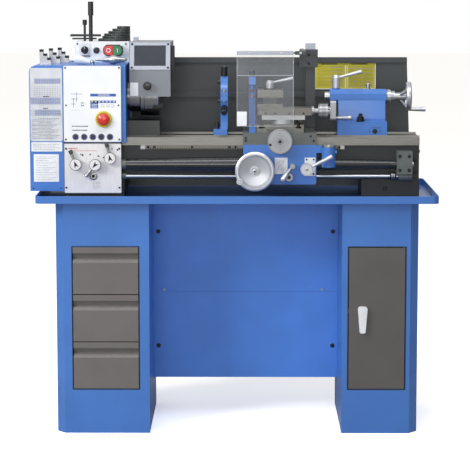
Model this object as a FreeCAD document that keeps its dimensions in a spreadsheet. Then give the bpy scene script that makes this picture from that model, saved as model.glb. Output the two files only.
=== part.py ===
import FreeCAD, Part
import math
import os

import Sketcher
from FreeCAD import Placement, Rotation, Vector

# Bench engine lathe of about 254 mm swing and 700 mm between centres, on a cabinet stand.
# Frame: X to the right along the bed, Y away from the operator, Z up. The origin lies on the floor,
# midway between the floor anchor holes. The spindle axis is above it, at Y = 0.
# All lengths are in millimetres.

# Heights that end in _over_tray are measured from the floor of the chip tray.
SIZES = {
    # Fits
    "running": 0.05,
    "seat": 0.3,
    "overrun": 5.0,
    # Stand
    "stand_length": 1162.0,
    "cabinet_height": 750.0,
    "cabinet_depth": 420.0,
    "cabinet_wall": 3.0,
    "corner_run": 27.0,
    "corner_rise": 30.0,
    "anchor_spacing_x": 1040.0,
    "anchor_spacing_y": 300.0,
    "anchor_radius": 7.0,
    "opening_bottom": 145.0,
    "opening_height": 462.0,
    "drawer_stile": 54.0,
    "drawer_opening_width": 213.0,
    "drawer_far_stile": 33.0,
    "door_stile": 20.0,
    "door_opening_width": 183.0,
    "door_far_stile": 42.0,
    # Drawers
    "drawer_gap": 2.0,
    "drawer_depth": 370.0,
    "drawer_side_height": 96.0,
    "drawer_wall": 2.0,
    "front_thickness": 20.0,
    "front_proud": 2.0,
    "grip_drop": 19.0,
    "grip_height": 13.0,
    "grip_slope": 18.0,
    "grip_depth": 15.0,
    "runner_lap": 8.0,
    "runner_thickness": 3.0,
    # Door
    "door_thickness": 18.0,
    "door_pin_radius": 2.0,
    "door_pin_length": 10.0,
    "door_pin_inset": 3.0,
    "door_pin_back": 3.5,
    "handle_inset": 44.0,
    "handle_pivot_height": 398.0,
    "handle_above": 18.0,
    "handle_below": 68.0,
    "handle_half_top": 16.0,
    "handle_half_end": 9.0,
    "handle_thickness": 12.0,
    "handle_shaft_radius": 6.0,
    "cam_length": 54.0,
    "cam_width": 16.0,
    "cam_thickness": 3.0,
    # Sheets between the cabinets
    "panel_y": 80.0,
    "panel_sheet": 2.5,
    "panel_bottom": 120.0,
    "panel_seam": 414.0,
    "panel_flange": 18.0,
    "panel_hole_radius": 6.0,
    "panel_hole_inset": 16.0,
    "panel_hole_above": 203.0,
    "panel_hole_below": 185.0,
    # Chip tray
    "tray_length": 1280.0,
    "tray_front": 245.0,
    "tray_back": 288.0,
    "tray_lip": 24.0,
    "tray_sheet": 3.0,
    "tray_corner": 20.0,
    # Splash back
    "splash_y": 238.0,
    "splash_sheet": 4.0,
    "splash_height": 440.0,
    "splash_left": 552.0,
    "splash_right": 592.0,
    "splash_lean": 17.0,
    "splash_hem": 18.0,
    "splash_hem_depth": 8.0,
    "splash_gap_height": 320.0,
    "splash_gap": 10.0,
    "splash_roll": 15.0,
    "splash_roll_depth": 10.0,
    # Bed
    "bed_height": 195.0,
    "bed_left": 557.0,
    "bed_right": 590.0,
    "way_half": 92.0,
    "way_depth": 26.0,
    "web_half": 80.0,
    "web_height": 136.0,
    "vee_height": 6.0,
    "vee_half": 8.0,
    "front_vee": 78.0,
    "rear_vee": 50.0,
    "gap_half": 36.0,
    "rib_thickness": 25.0,
    "rib_start": 150.0,
    "rib_pitch": 175.0,
    "foot_length": 187.0,
    "left_foot_length": 190.0,
    # Rack under the front way
    "rack_left": 312.0,
    "rack_right": 348.0,
    "rack_thickness": 12.0,
    "rack_height": 13.0,
    "rack_module": 2.5,
    # Headstock
    "centre_height": 127.0,
    "head_right": 358.0,
    "head_front": 128.0,
    "head_back": 125.0,
    "head_top_over_tray": 429.0,
    "head_skirt_gap": 2.0,
    "foot_block_right": 252.0,
    "foot_block_half": 62.0,
    "foot_block_height": 52.0,
    # Feed gearbox
    "box_front": 132.0,
    "box_right": 373.0,
    "box_bottom_over_tray": 17.0,
    "box_top_over_tray": 179.0,
    "boss_radius": 18.0,
    "boss_length": 14.0,
    "screw_depth": 40.0,
    # Gear cover
    "cover_left": 666.0,
    "cover_front": 135.0,
    "cover_back": 236.0,
    "cover_bottom_over_tray": 25.0,
    "cover_sheet": 3.0,
    "cover_corner": 22.0,
    "cover_hole_radius": 34.0,
    # Motor and belt
    "motor_y": 166.0,
    "motor_z_over_tray": 109.0,
    "motor_radius": 62.0,
    "motor_left": 545.0,
    "motor_length": 200.0,
    "motor_bell_radius": 50.0,
    "motor_bell_length": 24.0,
    "motor_foot_left": 515.0,
    "motor_foot_length": 140.0,
    "motor_foot_height": 60.0,
    "motor_shaft_radius": 9.0,
    "motor_shaft_depth": 60.0,
    "pulley_left": 602.0,
    "pulley_width": 28.0,
    "pulley_flange": 3.0,
    "pulley_flange_height": 5.0,
    "spindle_pulley_radius": 48.0,
    "motor_pulley_radius": 30.0,
    "belt_thickness": 5.0,
    # Electrical box and its controls
    "electric_left": 542.0,
    "electric_right": 361.0,
    "electric_bottom_over_tray": 197.0,
    "electric_top_over_tray": 497.0,
    "electric_back": 226.0,
    "station_left": 442.0,
    "station_width": 56.0,
    "station_bottom_over_tray": 451.0,
    "station_height": 34.0,
    "station_depth": 18.0,
    "button_radius": 9.0,
    "button_proud": 4.0,
    "button_depth": 12.0,
    "button_inset": 15.0,
    "selector_x": 509.0,
    "selector_z_over_tray": 469.0,
    "selector_radius": 12.0,
    "selector_depth": 10.0,
    "selector_grip": 8.0,
    "selector_stem": 5.0,
    "selector_stem_length": 14.0,
    "stop_x": 428.0,
    "stop_z_over_tray": 257.0,
    "stop_radius": 20.0,
    "stop_height": 14.0,
    "stop_stand": 16.0,
    "stop_stem": 8.0,
    "stop_stem_depth": 14.0,
    "stop_collar_radius": 24.0,
    "stop_collar": 8.0,
    # Guard pivot on the electrical box
    "guard_pivot_y": 150.0,
    "guard_pivot_z_over_tray": 472.0,
    "guard_pin_radius": 6.0,
    "guard_pin_length": 24.0,
    # Spindle and chuck
    "spindle_left": 652.0,
    "spindle_radius": 28.0,
    "spindle_bore": 13.0,
    "nose_radius": 45.0,
    "nose_thickness": 8.0,
    "backplate_radius": 50.0,
    "backplate_thickness": 42.0,
    "chuck_radius": 62.5,
    "chuck_length": 55.0,
    "chuck_bore": 16.0,
    "chuck_chamfer": 3.0,
    "scroll_inner": 20.0,
    "scroll_outer": 52.0,
    "scroll_thickness": 12.0,
    "slot_width": 16.0,
    "slot_depth": 20.0,
    "jaw_inner": 12.0,
    "jaw_step": 13.0,
    "jaw_outer_step": 17.0,
    "jaw_reach": 29.0,
    "jaw_fall": 9.0,
    "key_socket_radius": 6.0,
    "key_socket_depth": 8.0,
    # Chuck guard
    "guard_left": 347.0,
    "guard_right": 215.0,
    "guard_front": 95.0,
    "guard_slope": 26.0,
    "guard_bottom_over_tray": 327.0,
    "guard_knee_over_tray": 413.0,
    "guard_top_over_tray": 500.0,
    "guard_back": 168.0,
    "guard_sheet": 3.0,
    "guard_side_bottom_over_tray": 399.0,
    "guard_back_bottom_over_tray": 452.0,
    "window_inset": 14.0,
    "window_bottom_inset": 12.0,
    "window_top_inset": 10.0,
    # Levers on the feed gearbox
    "lever_disc_radius": 18.0,
    "lever_disc_depth": 22.0,
    "lever_stem_radius": 6.0,
    "lever_stem_depth": 20.0,
    "lever_root_radius": 3.5,
    "lever_tip_radius": 5.5,
    "lever_reach": 48.0,
    "lever_plane": 11.0,
    "left_lever_x": 518.0,
    "left_lever_z_over_tray": 112.0,
    "middle_lever_x": 455.7,
    "middle_lever_z_over_tray": 111.0,
    "right_lever_x": 407.7,
    "right_lever_z_over_tray": 132.0,
    # Leadscrew and feed rod
    "screw_y": 110.0,
    "screw_z_over_tray": 109.0,
    "screw_radius": 10.0,
    "screw_proud": 4.0,
    "feed_rod_z_over_tray": 71.0,
    "feed_rod_radius": 5.5,
    "collar_radius": 12.0,
    "collar_length": 17.0,
    "end_bracket_left": 514.0,
    "end_bracket_width": 50.0,
    "end_bracket_front": 134.0,
    "end_bracket_top_over_tray": 153.0,
    "end_bracket_bottom_over_tray": 79.0,
    "end_boss_radius": 15.0,
    "end_boss_inset": 6.0,
    # Telescopic covers round the leadscrew
    "left_cover_small": 18.0,
    "left_cover_large": 26.0,
    "right_cover_small": 12.5,
    "right_cover_large": 19.5,
    "cover_gap": 0.3,
    "cover_bore": 11.5,
    # Carriage
    "saddle_left": 19.5,
    "saddle_width": 235.0,
    "saddle_front": 140.0,
    "saddle_back": 122.0,
    "saddle_thickness": 18.0,
    "saddle_wing": 46.0,
    "saddle_skirt": 20.0,
    "way_clearance": 1.0,
    "dovetail_height": 10.0,
    "dovetail_half_root": 34.0,
    "dovetail_half_top": 42.0,
    "apron_bottom_over_tray": 47.0,
    "apron_back": 94.0,
    "apron_corner": 8.0,
    "screw_clearance": 0.6,
    "wheel_x": 57.0,
    "wheel_z_over_tray": 92.0,
    "wheel_radius": 63.0,
    "wheel_depth": 30.0,
    "wheel_stand": 8.0,
    "wheel_rim": 9.0,
    "wheel_web": 4.0,
    "wheel_hub_radius": 13.0,
    "wheel_shaft_radius": 8.0,
    "wheel_shaft_depth": 16.0,
    "wheel_handle_radius": 56.0,
    "wheel_handle_length": 58.0,
    "wheel_handle_small": 6.0,
    "wheel_handle_large": 9.5,
    "half_nut_x": 222.0,
    "half_nut_z_over_tray": 101.0,
    "half_nut_radius": 20.0,
    "half_nut_stand": 38.0,
    "half_nut_disc": 16.0,
    "half_nut_reach": 91.0,
    "engage_x": 178.0,
    "engage_z_over_tray": 108.0,
    "engage_radius": 8.0,
    "engage_length": 24.0,
    "engage_reach": 58.0,
    "dial_x": 293.0,
    "dial_y": 154.0,
    "dial_bottom_over_tray": 105.0,
    "dial_height": 68.0,
    "dial_radius": 22.0,
    "dial_arm_height": 24.0,
    "dial_arm_thickness": 8.0,
    # Follow rest
    "follow_left": 38.0,
    "follow_width": 22.0,
    "follow_front": 128.0,
    "follow_back": 82.0,
    "follow_foot": 19.0,
    "follow_post": 34.0,
    "follow_top_over_tray": 387.0,
    "follow_arm": 26.0,
    "follow_arm_reach": 16.0,
    "finger_radius": 6.0,
    "finger_clearance": 14.0,
    "knob_radius": 9.0,
    "knob_length": 20.0,
    # Cross slide
    "cross_left": 62.0,
    "cross_width": 152.0,
    "cross_front": 130.0,
    "cross_back": 100.0,
    "cross_thickness": 25.7,
    "tee_mouth": 10.0,
    "tee_head": 18.0,
    "tee_mouth_depth": 6.0,
    "tee_head_depth": 6.0,
    "tee_inset": 17.0,
    "cross_dial_x": 137.0,
    "cross_dial_z_over_tray": 188.0,
    "cross_dial_radius": 40.0,
    "cross_dial_thickness": 12.0,
    "cross_ring_radius": 23.0,
    "cross_ring_length": 24.0,
    "cross_shaft_radius": 6.0,
    "cross_shaft_depth": 20.0,
    # Shield
    "shield_post_left": 226.0,
    "shield_post_width": 32.0,
    "shield_post_front": 80.0,
    "shield_post_depth": 16.0,
    "shield_post_top_over_tray": 472.0,
    "shield_head_height": 58.0,
    "shield_head_left": 206.0,
    "shield_head_right": 266.0,
    "shield_cap": 20.0,
    "shield_arm_left": 208.0,
    "shield_arm_size": 12.0,
    "shield_bar_y": 133.0,
    "shield_bar_z_over_tray": 469.0,
    "shield_bar_radius": 6.0,
    "shield_pin_radius": 3.0,
    "shield_pin_length": 22.0,
    "shield_link_left": 185.0,
    "shield_left": 1.0,
    "shield_width": 182.0,
    "shield_bottom_over_tray": 233.5,
    "shield_crease_over_tray": 397.0,
    "shield_top_shift": 7.0,
    "shield_sheet": 2.5,
    # Compound slide and tool post
    "compound_x": 150.0,
    "compound_y": 75.0,
    "swivel_radius": 38.0,
    "swivel_thickness": 14.0,
    "compound_left": 67.0,
    "compound_right": 240.0,
    "compound_half": 35.0,
    "compound_base": 14.0,
    "compound_top_over_tray": 292.0,
    "compound_dovetail": 5.0,
    "compound_root": 18.0,
    "compound_flare": 23.0,
    "compound_base_left": 80.0,
    "compound_base_right": 218.0,
    "compound_screw_z_over_tray": 279.0,
    "crank_flange": 8.0,
    "crank_flange_radius": 16.0,
    "crank_neck": 14.0,
    "crank_neck_radius": 10.0,
    "crank_dial": 30.0,
    "crank_dial_radius": 24.0,
    "crank_collar": 9.0,
    "crank_collar_radius": 15.0,
    "crank_bar": 18.0,
    "crank_bar_up": 34.0,
    "crank_bar_down": 30.0,
    "crank_bar_half": 8.0,
    "crank_handle": 50.0,
    "crank_handle_small": 4.0,
    "crank_handle_large": 7.0,
    "crank_shaft_radius": 5.0,
    "crank_shaft_depth": 8.0,
    "post_x": 106.0,
    "post_y": 70.0,
    "post_side": 82.0,
    "post_height": 57.0,
    "post_floor": 12.0,
    "post_slot": 20.0,
    "post_slot_depth": 19.0,
    "post_bore": 8.0,
    "post_screw_radius": 4.0,
    "post_screw_proud": 9.0,
    "post_screw_inset": 9.0,
    "lock_radius": 13.0,
    "lock_height": 28.0,
    "lock_stud_depth": 40.0,
    "lock_reach": 76.0,
    "lock_rise": 16.0,
    # Tailstock
    "tail_left": 326.0,
    "tail_width": 161.0,
    "tail_front": 55.0,
    "tail_back": 62.0,
    "tail_base": 48.0,
    "tail_step": 8.0,
    "tail_body_half": 32.0,
    "tail_neck_half": 21.0,
    "tail_body_inset": 4.0,
    "barrel_left": 302.0,
    "barrel_length": 185.0,
    "barrel_radius": 24.0,
    "barrel_facet": 10.0,
    "quill_radius": 15.0,
    "quill_proud": 16.0,
    "quill_length": 176.0,
    "quill_bore": 7.5,
    "quill_bore_depth": 60.0,
    "quill_screw_bore": 9.0,
    "tail_screw_radius": 8.0,
    "tail_screw_depth": 14.0,
    "tail_dial_radius": 18.0,
    "tail_dial_length": 27.0,
    "tail_hub_radius": 12.0,
    "tail_hub_length": 38.0,
    "tail_rim_radius": 47.5,
    "tail_rim_width": 16.0,
    "tail_rim_depth": 10.0,
    "tail_spoke_radius": 4.0,
    "tail_handle_offset": 42.0,
    "tail_handle_length": 56.0,
    "tail_handle_small": 5.5,
    "tail_handle_large": 8.0,
    "quill_lock_x": 323.0,
    "quill_lock_radius": 13.0,
    "quill_lock_height": 42.0,
    "quill_lock_boss": 28.0,
    "quill_lock_stem": 6.0,
    "quill_lock_stem_depth": 9.0,
    "quill_lock_reach": 86.0,
    "quill_lock_rise": 22.0,
    # Steady rest
    "steady_left": 54.0,
    "steady_width": 23.0,
    "steady_base_left": 77.0,
    "steady_base_width": 44.0,
    "steady_base_half": 62.0,
    "steady_base_height": 24.0,
    "steady_outer": 66.0,
    "steady_inner": 40.0,
    "steady_neck": 40.0,
    "steady_split": 6.0,
    "steady_split_gap": 1.0,
    "steady_lug": 16.0,
    "steady_lug_height": 16.0,
    "steady_pin_radius": 4.0,
    "steady_knob_length": 32.0,
    # Loose items kept on the headstock
    "key_x": 490.0,
    "key_y": 140.0,
    "key_radius": 6.5,
    "key_head_radius": 9.0,
    "key_height": 132.0,
    "key_head": 46.0,
    "key_bar_left": 70.0,
    "key_bar_right": 34.0,
    "key_bar_radius": 4.0,
    "key_bar_height": 20.0,
    "wrench_x": 513.0,
    "wrench_y": 172.0,
    "wrench_radius": 4.0,
    "wrench_head_radius": 7.5,
    "wrench_height": 71.0,
    "wrench_head": 17.0,
    "wrench_bar_left": 42.0,
    "wrench_bar_right": 40.0,
    "wrench_bar_radius": 3.0,
    "wrench_bar_height": 8.0,
    "stack_x": 415.0,
    "stack_y": 181.0,
    "gear_thickness": 8.2,
    "gear_module": 2.0,
    "gear_bore": 10.0,
    "spare_jaw_thickness": 16.0,
    "spare_jaw_foot": 12.0,
    "spare_jaw_step": 12.0,
    "spare_jaw_height": 48.0,
    "spare_jaw_1_x": 640.0,
    "spare_jaw_1_y": -60.0,
    "spare_jaw_2_x": 619.0,
    "spare_jaw_2_y": 30.0,
    "spare_jaw_3_x": 597.0,
    "spare_jaw_3_y": 98.0,
}

# Teeth of the spare change gears, from the bottom of the stack to its top.
STACK_TEETH = (52, 45, 42, 35, 28, 20)

# Which way each lever points, and where the handwheel's handle stands: degrees from +X towards +Z.
LEVER_ANGLES = {"left": 112, "middle": 230, "right": 104, "half_nut": 27, "engage": 234, "wheel": 209}

doc = FreeCAD.newDocument("engine_lathe")
sheet = doc.addObject("Spreadsheet::Sheet", "sizes")


class Size:
    """A length with the sheet formula that it comes from and its present value."""

    def __init__(self, text, value):
        self.text = text
        self.value = float(value)

    def joined(self, sign, other, value):
        return Size(f"({self.text} {sign} {other.text})", value)

    def __add__(self, other):
        other = as_size(other)
        return self.joined("+", other, self.value + other.value)

    def __sub__(self, other):
        other = as_size(other)
        return self.joined("-", other, self.value - other.value)

    def __mul__(self, other):
        other = as_size(other)
        return self.joined("*", other, self.value * other.value)

    def __truediv__(self, other):
        other = as_size(other)
        return self.joined("/", other, self.value / other.value)

    def __neg__(self):
        return Size(f"(0 - {self.text})", -self.value)

    __radd__ = __add__
    __rmul__ = __mul__


def as_size(value):
    return value if isinstance(value, Size) else Size(f"{value:.9f}", value)


class Sizes:
    """The sheet's cells as attributes. derive() adds a cell that holds a formula."""

    def __init__(self, table):
        self.row = 0
        for alias, value in table.items():
            self.cell(alias, str(value), value)

    def cell(self, alias, content, value):
        self.row += 1
        sheet.set(f"A{self.row}", alias)
        sheet.set(f"B{self.row}", content)
        sheet.setAlias(f"B{self.row}", alias)
        setattr(self, alias, Size(f"sizes.{alias}", value))

    def derive(self, alias, size):
        self.cell(alias, "=" + size.text.replace("sizes.", ""), size.value)
        return getattr(self, alias)


s = Sizes(SIZES)

# Which way the local axes of a body point, for an outline in each plane and a turning axis.
PLANE_TURN = {
    "XY": Rotation(),
    "XZ": Rotation(Vector(1, 0, 0), 90),
    "YZ": Rotation(Vector(1, 1, 1), 120),
}
AXIS_TURN = {
    "X": Rotation(Vector(0, 1, 0), 90),
    "-X": Rotation(Vector(0, 1, 0), -90),
    "Y": Rotation(Vector(1, 0, 0), -90),
    "-Y": Rotation(Vector(1, 0, 0), 90),
    "Z": Rotation(),
    "-Z": Rotation(Vector(1, 0, 0), 180),
}
NODES = []


def bind(thing, **lengths):
    for name, length in lengths.items():
        thing.setExpression(name, as_size(length).text)


def place(thing, at, rotation=None):
    """Put a piece at a point given in sizes, turned by a rotation."""
    at = [as_size(c) for c in at]
    thing.Placement = Placement(Vector(*[c.value for c in at]), rotation or Rotation())
    for axis, c in zip("xyz", at):
        thing.setExpression(f"Placement.Base.{axis}", c.text)
    return thing


def box(name, x, y, z):
    """A block between two corners, each axis given as (low, high)."""
    thing = doc.addObject("Part::Box", name)
    low = [as_size(c[0]) for c in (x, y, z)]
    high = [as_size(c[1]) for c in (x, y, z)]
    bind(thing, Length=high[0] - low[0], Width=high[1] - low[1], Height=high[2] - low[2])
    return place(thing, low)


def rod(name, axis, at, radius, length):
    """A plain cylinder from a point along an axis, named or given as a rotation of Z."""
    thing = doc.addObject("Part::Cylinder", name)
    bind(thing, Radius=radius, Height=length)
    return place(thing, at, AXIS_TURN.get(axis, axis) if isinstance(axis, str) else axis)


def taper(name, axis, at, start_radius, end_radius, length):
    """A cone frustum from a point along an axis."""
    thing = doc.addObject("Part::Cone", name)
    bind(thing, Radius1=start_radius, Radius2=end_radius, Height=length)
    return place(thing, at, AXIS_TURN.get(axis, axis) if isinstance(axis, str) else axis)


def closed_sketch(body, role, points, name):
    sketch = body.newObject("Sketcher::SketchObject", name + "_sketch")
    plane = [f for f in body.Origin.OriginFeatures if f.Role == role][0]
    sketch.AttachmentSupport = [(plane, "")]
    sketch.MapMode = "FlatFace"
    points = [(as_size(u), as_size(v)) for u, v in points]
    count = len(points)
    corners = [Vector(u.value, v.value, 0) for u, v in points]
    edges = [Part.LineSegment(corners[i], corners[(i + 1) % count]) for i in range(count)]
    sketch.addGeometry(edges, False)
    for i in range(count):
        sketch.addConstraint(Sketcher.Constraint("Coincident", i, 2, (i + 1) % count, 1))
    for i, pair in enumerate(points):
        for kind, size in zip(("DistanceX", "DistanceY"), pair):
            number = sketch.addConstraint(Sketcher.Constraint(kind, -1, 1, i, 1, size.value))
            sketch.setExpression(f"Constraints[{number}]", size.text)
    return sketch


def prism(name, plane, points, low, high, at=(0, 0, 0), turn=None, rounds=None):
    """An outline in a plane, padded between two places on the third axis. rounds maps a corner
    number to a radius."""
    low = as_size(low)
    high = as_size(high)
    body = doc.addObject("PartDesign::Body", name)
    sketch = closed_sketch(body, "XY_Plane", points, name)
    sketch.setExpression("AttachmentOffset.Base.z", (-high if plane == "XZ" else low).text)
    pad = body.newObject("PartDesign::Pad", name + "_pad")
    pad.Profile = sketch
    bind(pad, Length=high - low)
    sketch.Visibility = False
    if rounds:
        doc.recompute()
        for number, (corner, radius) in enumerate(rounds.items()):
            u, v = (as_size(c).value for c in points[corner])
            base = body.Tip
            names = []
            for k, edge in enumerate(base.Shape.Edges, 1):
                ends = [vertex.Point for vertex in edge.Vertexes]
                if all(math.hypot(p.x - u, p.y - v) < 1e-4 for p in ends):
                    names.append(f"Edge{k}")
            fillet = body.newObject("PartDesign::Fillet", f"{name}_round_{number}")
            fillet.Base = (base, names)
            bind(fillet, Radius=radius)
            doc.recompute()
    rotation = PLANE_TURN[plane]
    return place(body, at, turn.multiply(rotation) if turn else rotation)


def turned(name, axis, at, points):
    """A solid of revolution. points are (along the axis from at, radius)."""
    body = doc.addObject("PartDesign::Body", name)
    sketch = closed_sketch(body, "XZ_Plane", [(radius, along) for along, radius in points], name)
    solid = body.newObject("PartDesign::Revolution", name + "_turn")
    solid.Profile = sketch
    solid.ReferenceAxis = (sketch, ["V_Axis"])
    solid.Angle = 360
    sketch.Visibility = False
    return place(body, at, AXIS_TURN.get(axis, axis) if isinstance(axis, str) else axis)


def fused(name, *pieces):
    thing = doc.addObject("Part::MultiFuse", name)
    thing.Shapes = list(pieces)
    thing.Refine = True
    return thing


def cut(name, base, *tools):
    thing = doc.addObject("Part::Cut", name)
    thing.Base = base
    thing.Tool = tools[0] if len(tools) == 1 else fused(name + "_tools", *tools)
    thing.Refine = True
    return thing


def grouped(name, *pieces):
    """Several separate solids that share one node."""
    thing = doc.addObject("Part::Compound", name)
    thing.Links = list(pieces)
    return thing


def lever_turn(angle):
    """The rotation that points Z at an angle from +X towards +Z."""
    return Rotation(Vector(0, 1, 0), 90 - angle)


def diagonal(a, b):
    """The length of the slanted line that covers two lengths at right angles."""
    return Size(f"sqrt({a.text} * {a.text} + {b.text} * {b.text})", math.hypot(a.value, b.value))


def node(label, thing):
    thing.Label = label
    NODES.append(thing)
    return thing


# Places that several pieces share
tray_floor = s.derive("tray_floor", s.cabinet_height + s.tray_sheet)
for over_tray in [name for name in SIZES if name.endswith("_over_tray")]:
    s.derive(over_tray.removesuffix("_over_tray"), tray_floor + getattr(s, over_tray))
s.derive("left_cabinet_width", s.drawer_stile + s.drawer_opening_width + s.drawer_far_stile)
s.derive("right_cabinet_width", s.door_stile + s.door_opening_width + s.door_far_stile)
way_z = s.derive("way_z", tray_floor + s.bed_height)
axis_z = s.derive("axis_z", way_z + s.centre_height)
web_z = s.derive("web_z", way_z - s.way_depth)
bed_bottom = s.derive("bed_bottom", way_z - s.web_height)
opening_top = s.derive("opening_top", s.opening_bottom + s.opening_height)
stand_half = s.derive("stand_half", s.stand_length / 2)
depth_half = s.derive("depth_half", s.cabinet_depth / 2)
drawer_x = s.derive("drawer_x", s.drawer_stile - stand_half)
door_x = s.derive("door_x", stand_half - s.right_cabinet_width + s.door_stile)


# Stand
def cabinet(name, x0, width, outer_is_left, opening_x, opening_width, extras):
    """A folded sheet cabinet, closed but for its front opening, with one bevelled outer corner."""
    x1 = x0 + width

    def outline(inset):
        left = x0 + inset
        right = x1 - inset
        front = inset - depth_half
        back = depth_half - inset
        if outer_is_left:
            return [(left + s.corner_run, front), (right, front), (right, back), (left, back),
                    (left, front + s.corner_rise)]
        return [(left, front), (right - s.corner_run, front), (right, front + s.corner_rise),
                (right, back), (left, back)]

    shell = prism(name + "_outer", "XY", outline(as_size(0)), 0, s.cabinet_height)
    room = prism(name + "_room", "XY", outline(s.cabinet_wall), s.cabinet_wall,
                 s.cabinet_height - s.cabinet_wall)
    mouth = box(name + "_mouth", (opening_x, opening_x + opening_width),
                (-depth_half - s.overrun, s.cabinet_wall * 2 - depth_half),
                (s.opening_bottom, opening_top))
    side = -1 if outer_is_left else 1
    holes = [rod(f"{name}_anchor_{sign}", "Z",
                 (s.anchor_spacing_x * side / 2, s.anchor_spacing_y * sign / 2, -s.overrun),
                 s.anchor_radius, s.overrun * 2 + s.cabinet_wall) for sign in (-1, 1)]
    return node(name, fused(name + "_whole", cut(name + "_shell", shell, room, mouth, *holes), *extras))


drawer_pitch = s.opening_height / 3
front_back = s.derive("front_back", s.front_thickness - depth_half - s.front_proud)


def drawer_runners():
    """A runner under each side of each drawer, from the cabinet's wall to the rear sheet."""
    rails = []
    inner_left = s.cabinet_wall - stand_half
    inner_right = s.left_cabinet_width - stand_half - s.cabinet_wall
    drawer_left = drawer_x + s.drawer_gap
    drawer_right = drawer_x + s.drawer_opening_width - s.drawer_gap
    for i in range(3):
        top = s.opening_bottom + drawer_pitch * i + s.drawer_gap - s.seat
        spans = ((inner_left, drawer_left + s.runner_lap), (drawer_right - s.runner_lap, inner_right))
        for side, span in zip(("left", "right"), spans):
            rails.append(box(f"runner_{side}_{i}", span,
                             (front_back + s.drawer_gap, depth_half - s.cabinet_wall),
                             (top - s.runner_thickness, top)))
    return rails


def door_pins():
    """The upper and lower pins that the door turns on."""
    x = door_x + s.door_opening_width - s.drawer_gap - s.door_pin_inset
    y = s.door_pin_back - depth_half - s.front_proud
    return [rod("door_pin_low", "Z", (x, y, s.opening_bottom), s.door_pin_radius, s.door_pin_length),
            rod("door_pin_high", "-Z", (x, y, opening_top), s.door_pin_radius, s.door_pin_length)]


def drawer(name, level):
    """A steel drawer whose thick front has a full-width finger recess along its upper edge."""
    left = drawer_x + s.drawer_gap
    right = drawer_x + s.drawer_opening_width - s.drawer_gap
    bottom = s.opening_bottom + drawer_pitch * level + s.drawer_gap
    top = s.opening_bottom + drawer_pitch * (level + 1) - s.drawer_gap * 0.5
    face = -depth_half - s.front_proud
    grip = face + s.grip_depth
    front = prism(name + "_front", "YZ", [
        (face, bottom), (front_back, bottom), (front_back, top), (face, top),
        (face, top - s.grip_drop), (grip, top - s.grip_drop),
        (grip, top - s.grip_drop - s.grip_height),
        (face, top - s.grip_drop - s.grip_height - s.grip_slope)], left, right)
    tub = box(name + "_tub", (left, right), (front_back, front_back + s.drawer_depth),
              (bottom, bottom + s.drawer_side_height))
    room = box(name + "_room", (left + s.drawer_wall, right - s.drawer_wall),
               (front_back, front_back + s.drawer_depth - s.drawer_wall),
               (bottom + s.drawer_wall, bottom + s.drawer_side_height + s.overrun))
    node(name, fused(name + "_whole", front, cut(name + "_box", tub, room)))


def cabinet_door():
    left = door_x + s.drawer_gap
    right = door_x + s.door_opening_width - s.drawer_gap
    face = -depth_half - s.front_proud
    panel = box("door_panel", (left, right), (face, face + s.door_thickness),
                (s.opening_bottom + s.drawer_gap, opening_top - s.drawer_gap))
    x = right - s.door_pin_inset
    y = face + s.door_pin_back
    radius = s.door_pin_radius + s.running
    low = rod("door_socket_low", "Z", (x, y, s.opening_bottom), radius, s.door_pin_length + s.seat)
    high = rod("door_socket_high", "-Z", (x, y, opening_top), radius, s.door_pin_length + s.seat)
    shaft = rod("door_shaft_hole", "Y", (left + s.handle_inset, face - s.overrun, s.handle_pivot_height),
                s.handle_shaft_radius + s.running, s.door_thickness + s.overrun * 2)
    node("cabinet_door", cut("door_whole", panel, low, high, shaft))


def door_handle():
    """A tapered swing handle with the latch cam that it turns behind the door."""
    x = door_x + s.drawer_gap + s.handle_inset
    z = s.handle_pivot_height
    face = -depth_half - s.front_proud
    outline = [(x - s.handle_half_top, z + s.handle_above), (x - s.handle_half_end, z - s.handle_below),
               (x + s.handle_half_end, z - s.handle_below), (x + s.handle_half_top, z + s.handle_above)]
    grip = prism("handle_grip", "XZ", outline, face - s.seat - s.handle_thickness, face - s.seat,
                 rounds={0: s.handle_half_end, 3: s.handle_half_end,
                         1: s.handle_half_end / 2, 2: s.handle_half_end / 2})
    shaft = rod("handle_shaft", "Y", (x, face - s.seat, z), s.handle_shaft_radius,
                s.door_thickness + s.seat * 2 + s.cam_thickness)
    back = face + s.door_thickness + s.seat
    cam = box("handle_cam", (x - s.cam_length, x + s.cam_width / 2), (back, back + s.cam_thickness),
              (z - s.cam_width / 2, z + s.cam_width / 2))
    node("door_handle", fused("handle_whole", grip, shaft, cam))


def centre_panels():
    """Two folded sheets that close the space between the cabinets."""
    left = s.left_cabinet_width - stand_half
    right = stand_half - s.right_cabinet_width
    front = s.panel_y
    sheet_back = front + s.panel_sheet
    flange_back = front + s.panel_flange

    def folded(name, low, high):
        return prism(name, "YZ", [
            (front, low), (flange_back, low), (flange_back, low + s.panel_sheet),
            (sheet_back, low + s.panel_sheet), (sheet_back, high - s.panel_sheet),
            (flange_back, high - s.panel_sheet), (flange_back, high), (front, high)], left, right)

    left_hole = left + s.panel_hole_inset
    right_hole = right - s.panel_hole_inset

    def holes(name, z):
        return [rod(f"{name}_{side}", "Y", (x, front - s.overrun, z), s.panel_hole_radius,
                    s.overrun * 2 + s.panel_sheet)
                for side, x in (("left", left_hole), ("right", right_hole))]

    lower = cut("lower_panel", folded("lower_sheet", s.panel_bottom, s.panel_seam - s.seat),
                *holes("lower_hole", s.panel_seam - s.panel_hole_below))
    upper = cut("upper_panel", folded("upper_sheet", s.panel_seam + s.seat, s.cabinet_height),
                *holes("upper_hole", s.panel_seam + s.panel_hole_above))
    node("centre_panels", grouped("panels", lower, upper))


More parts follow.
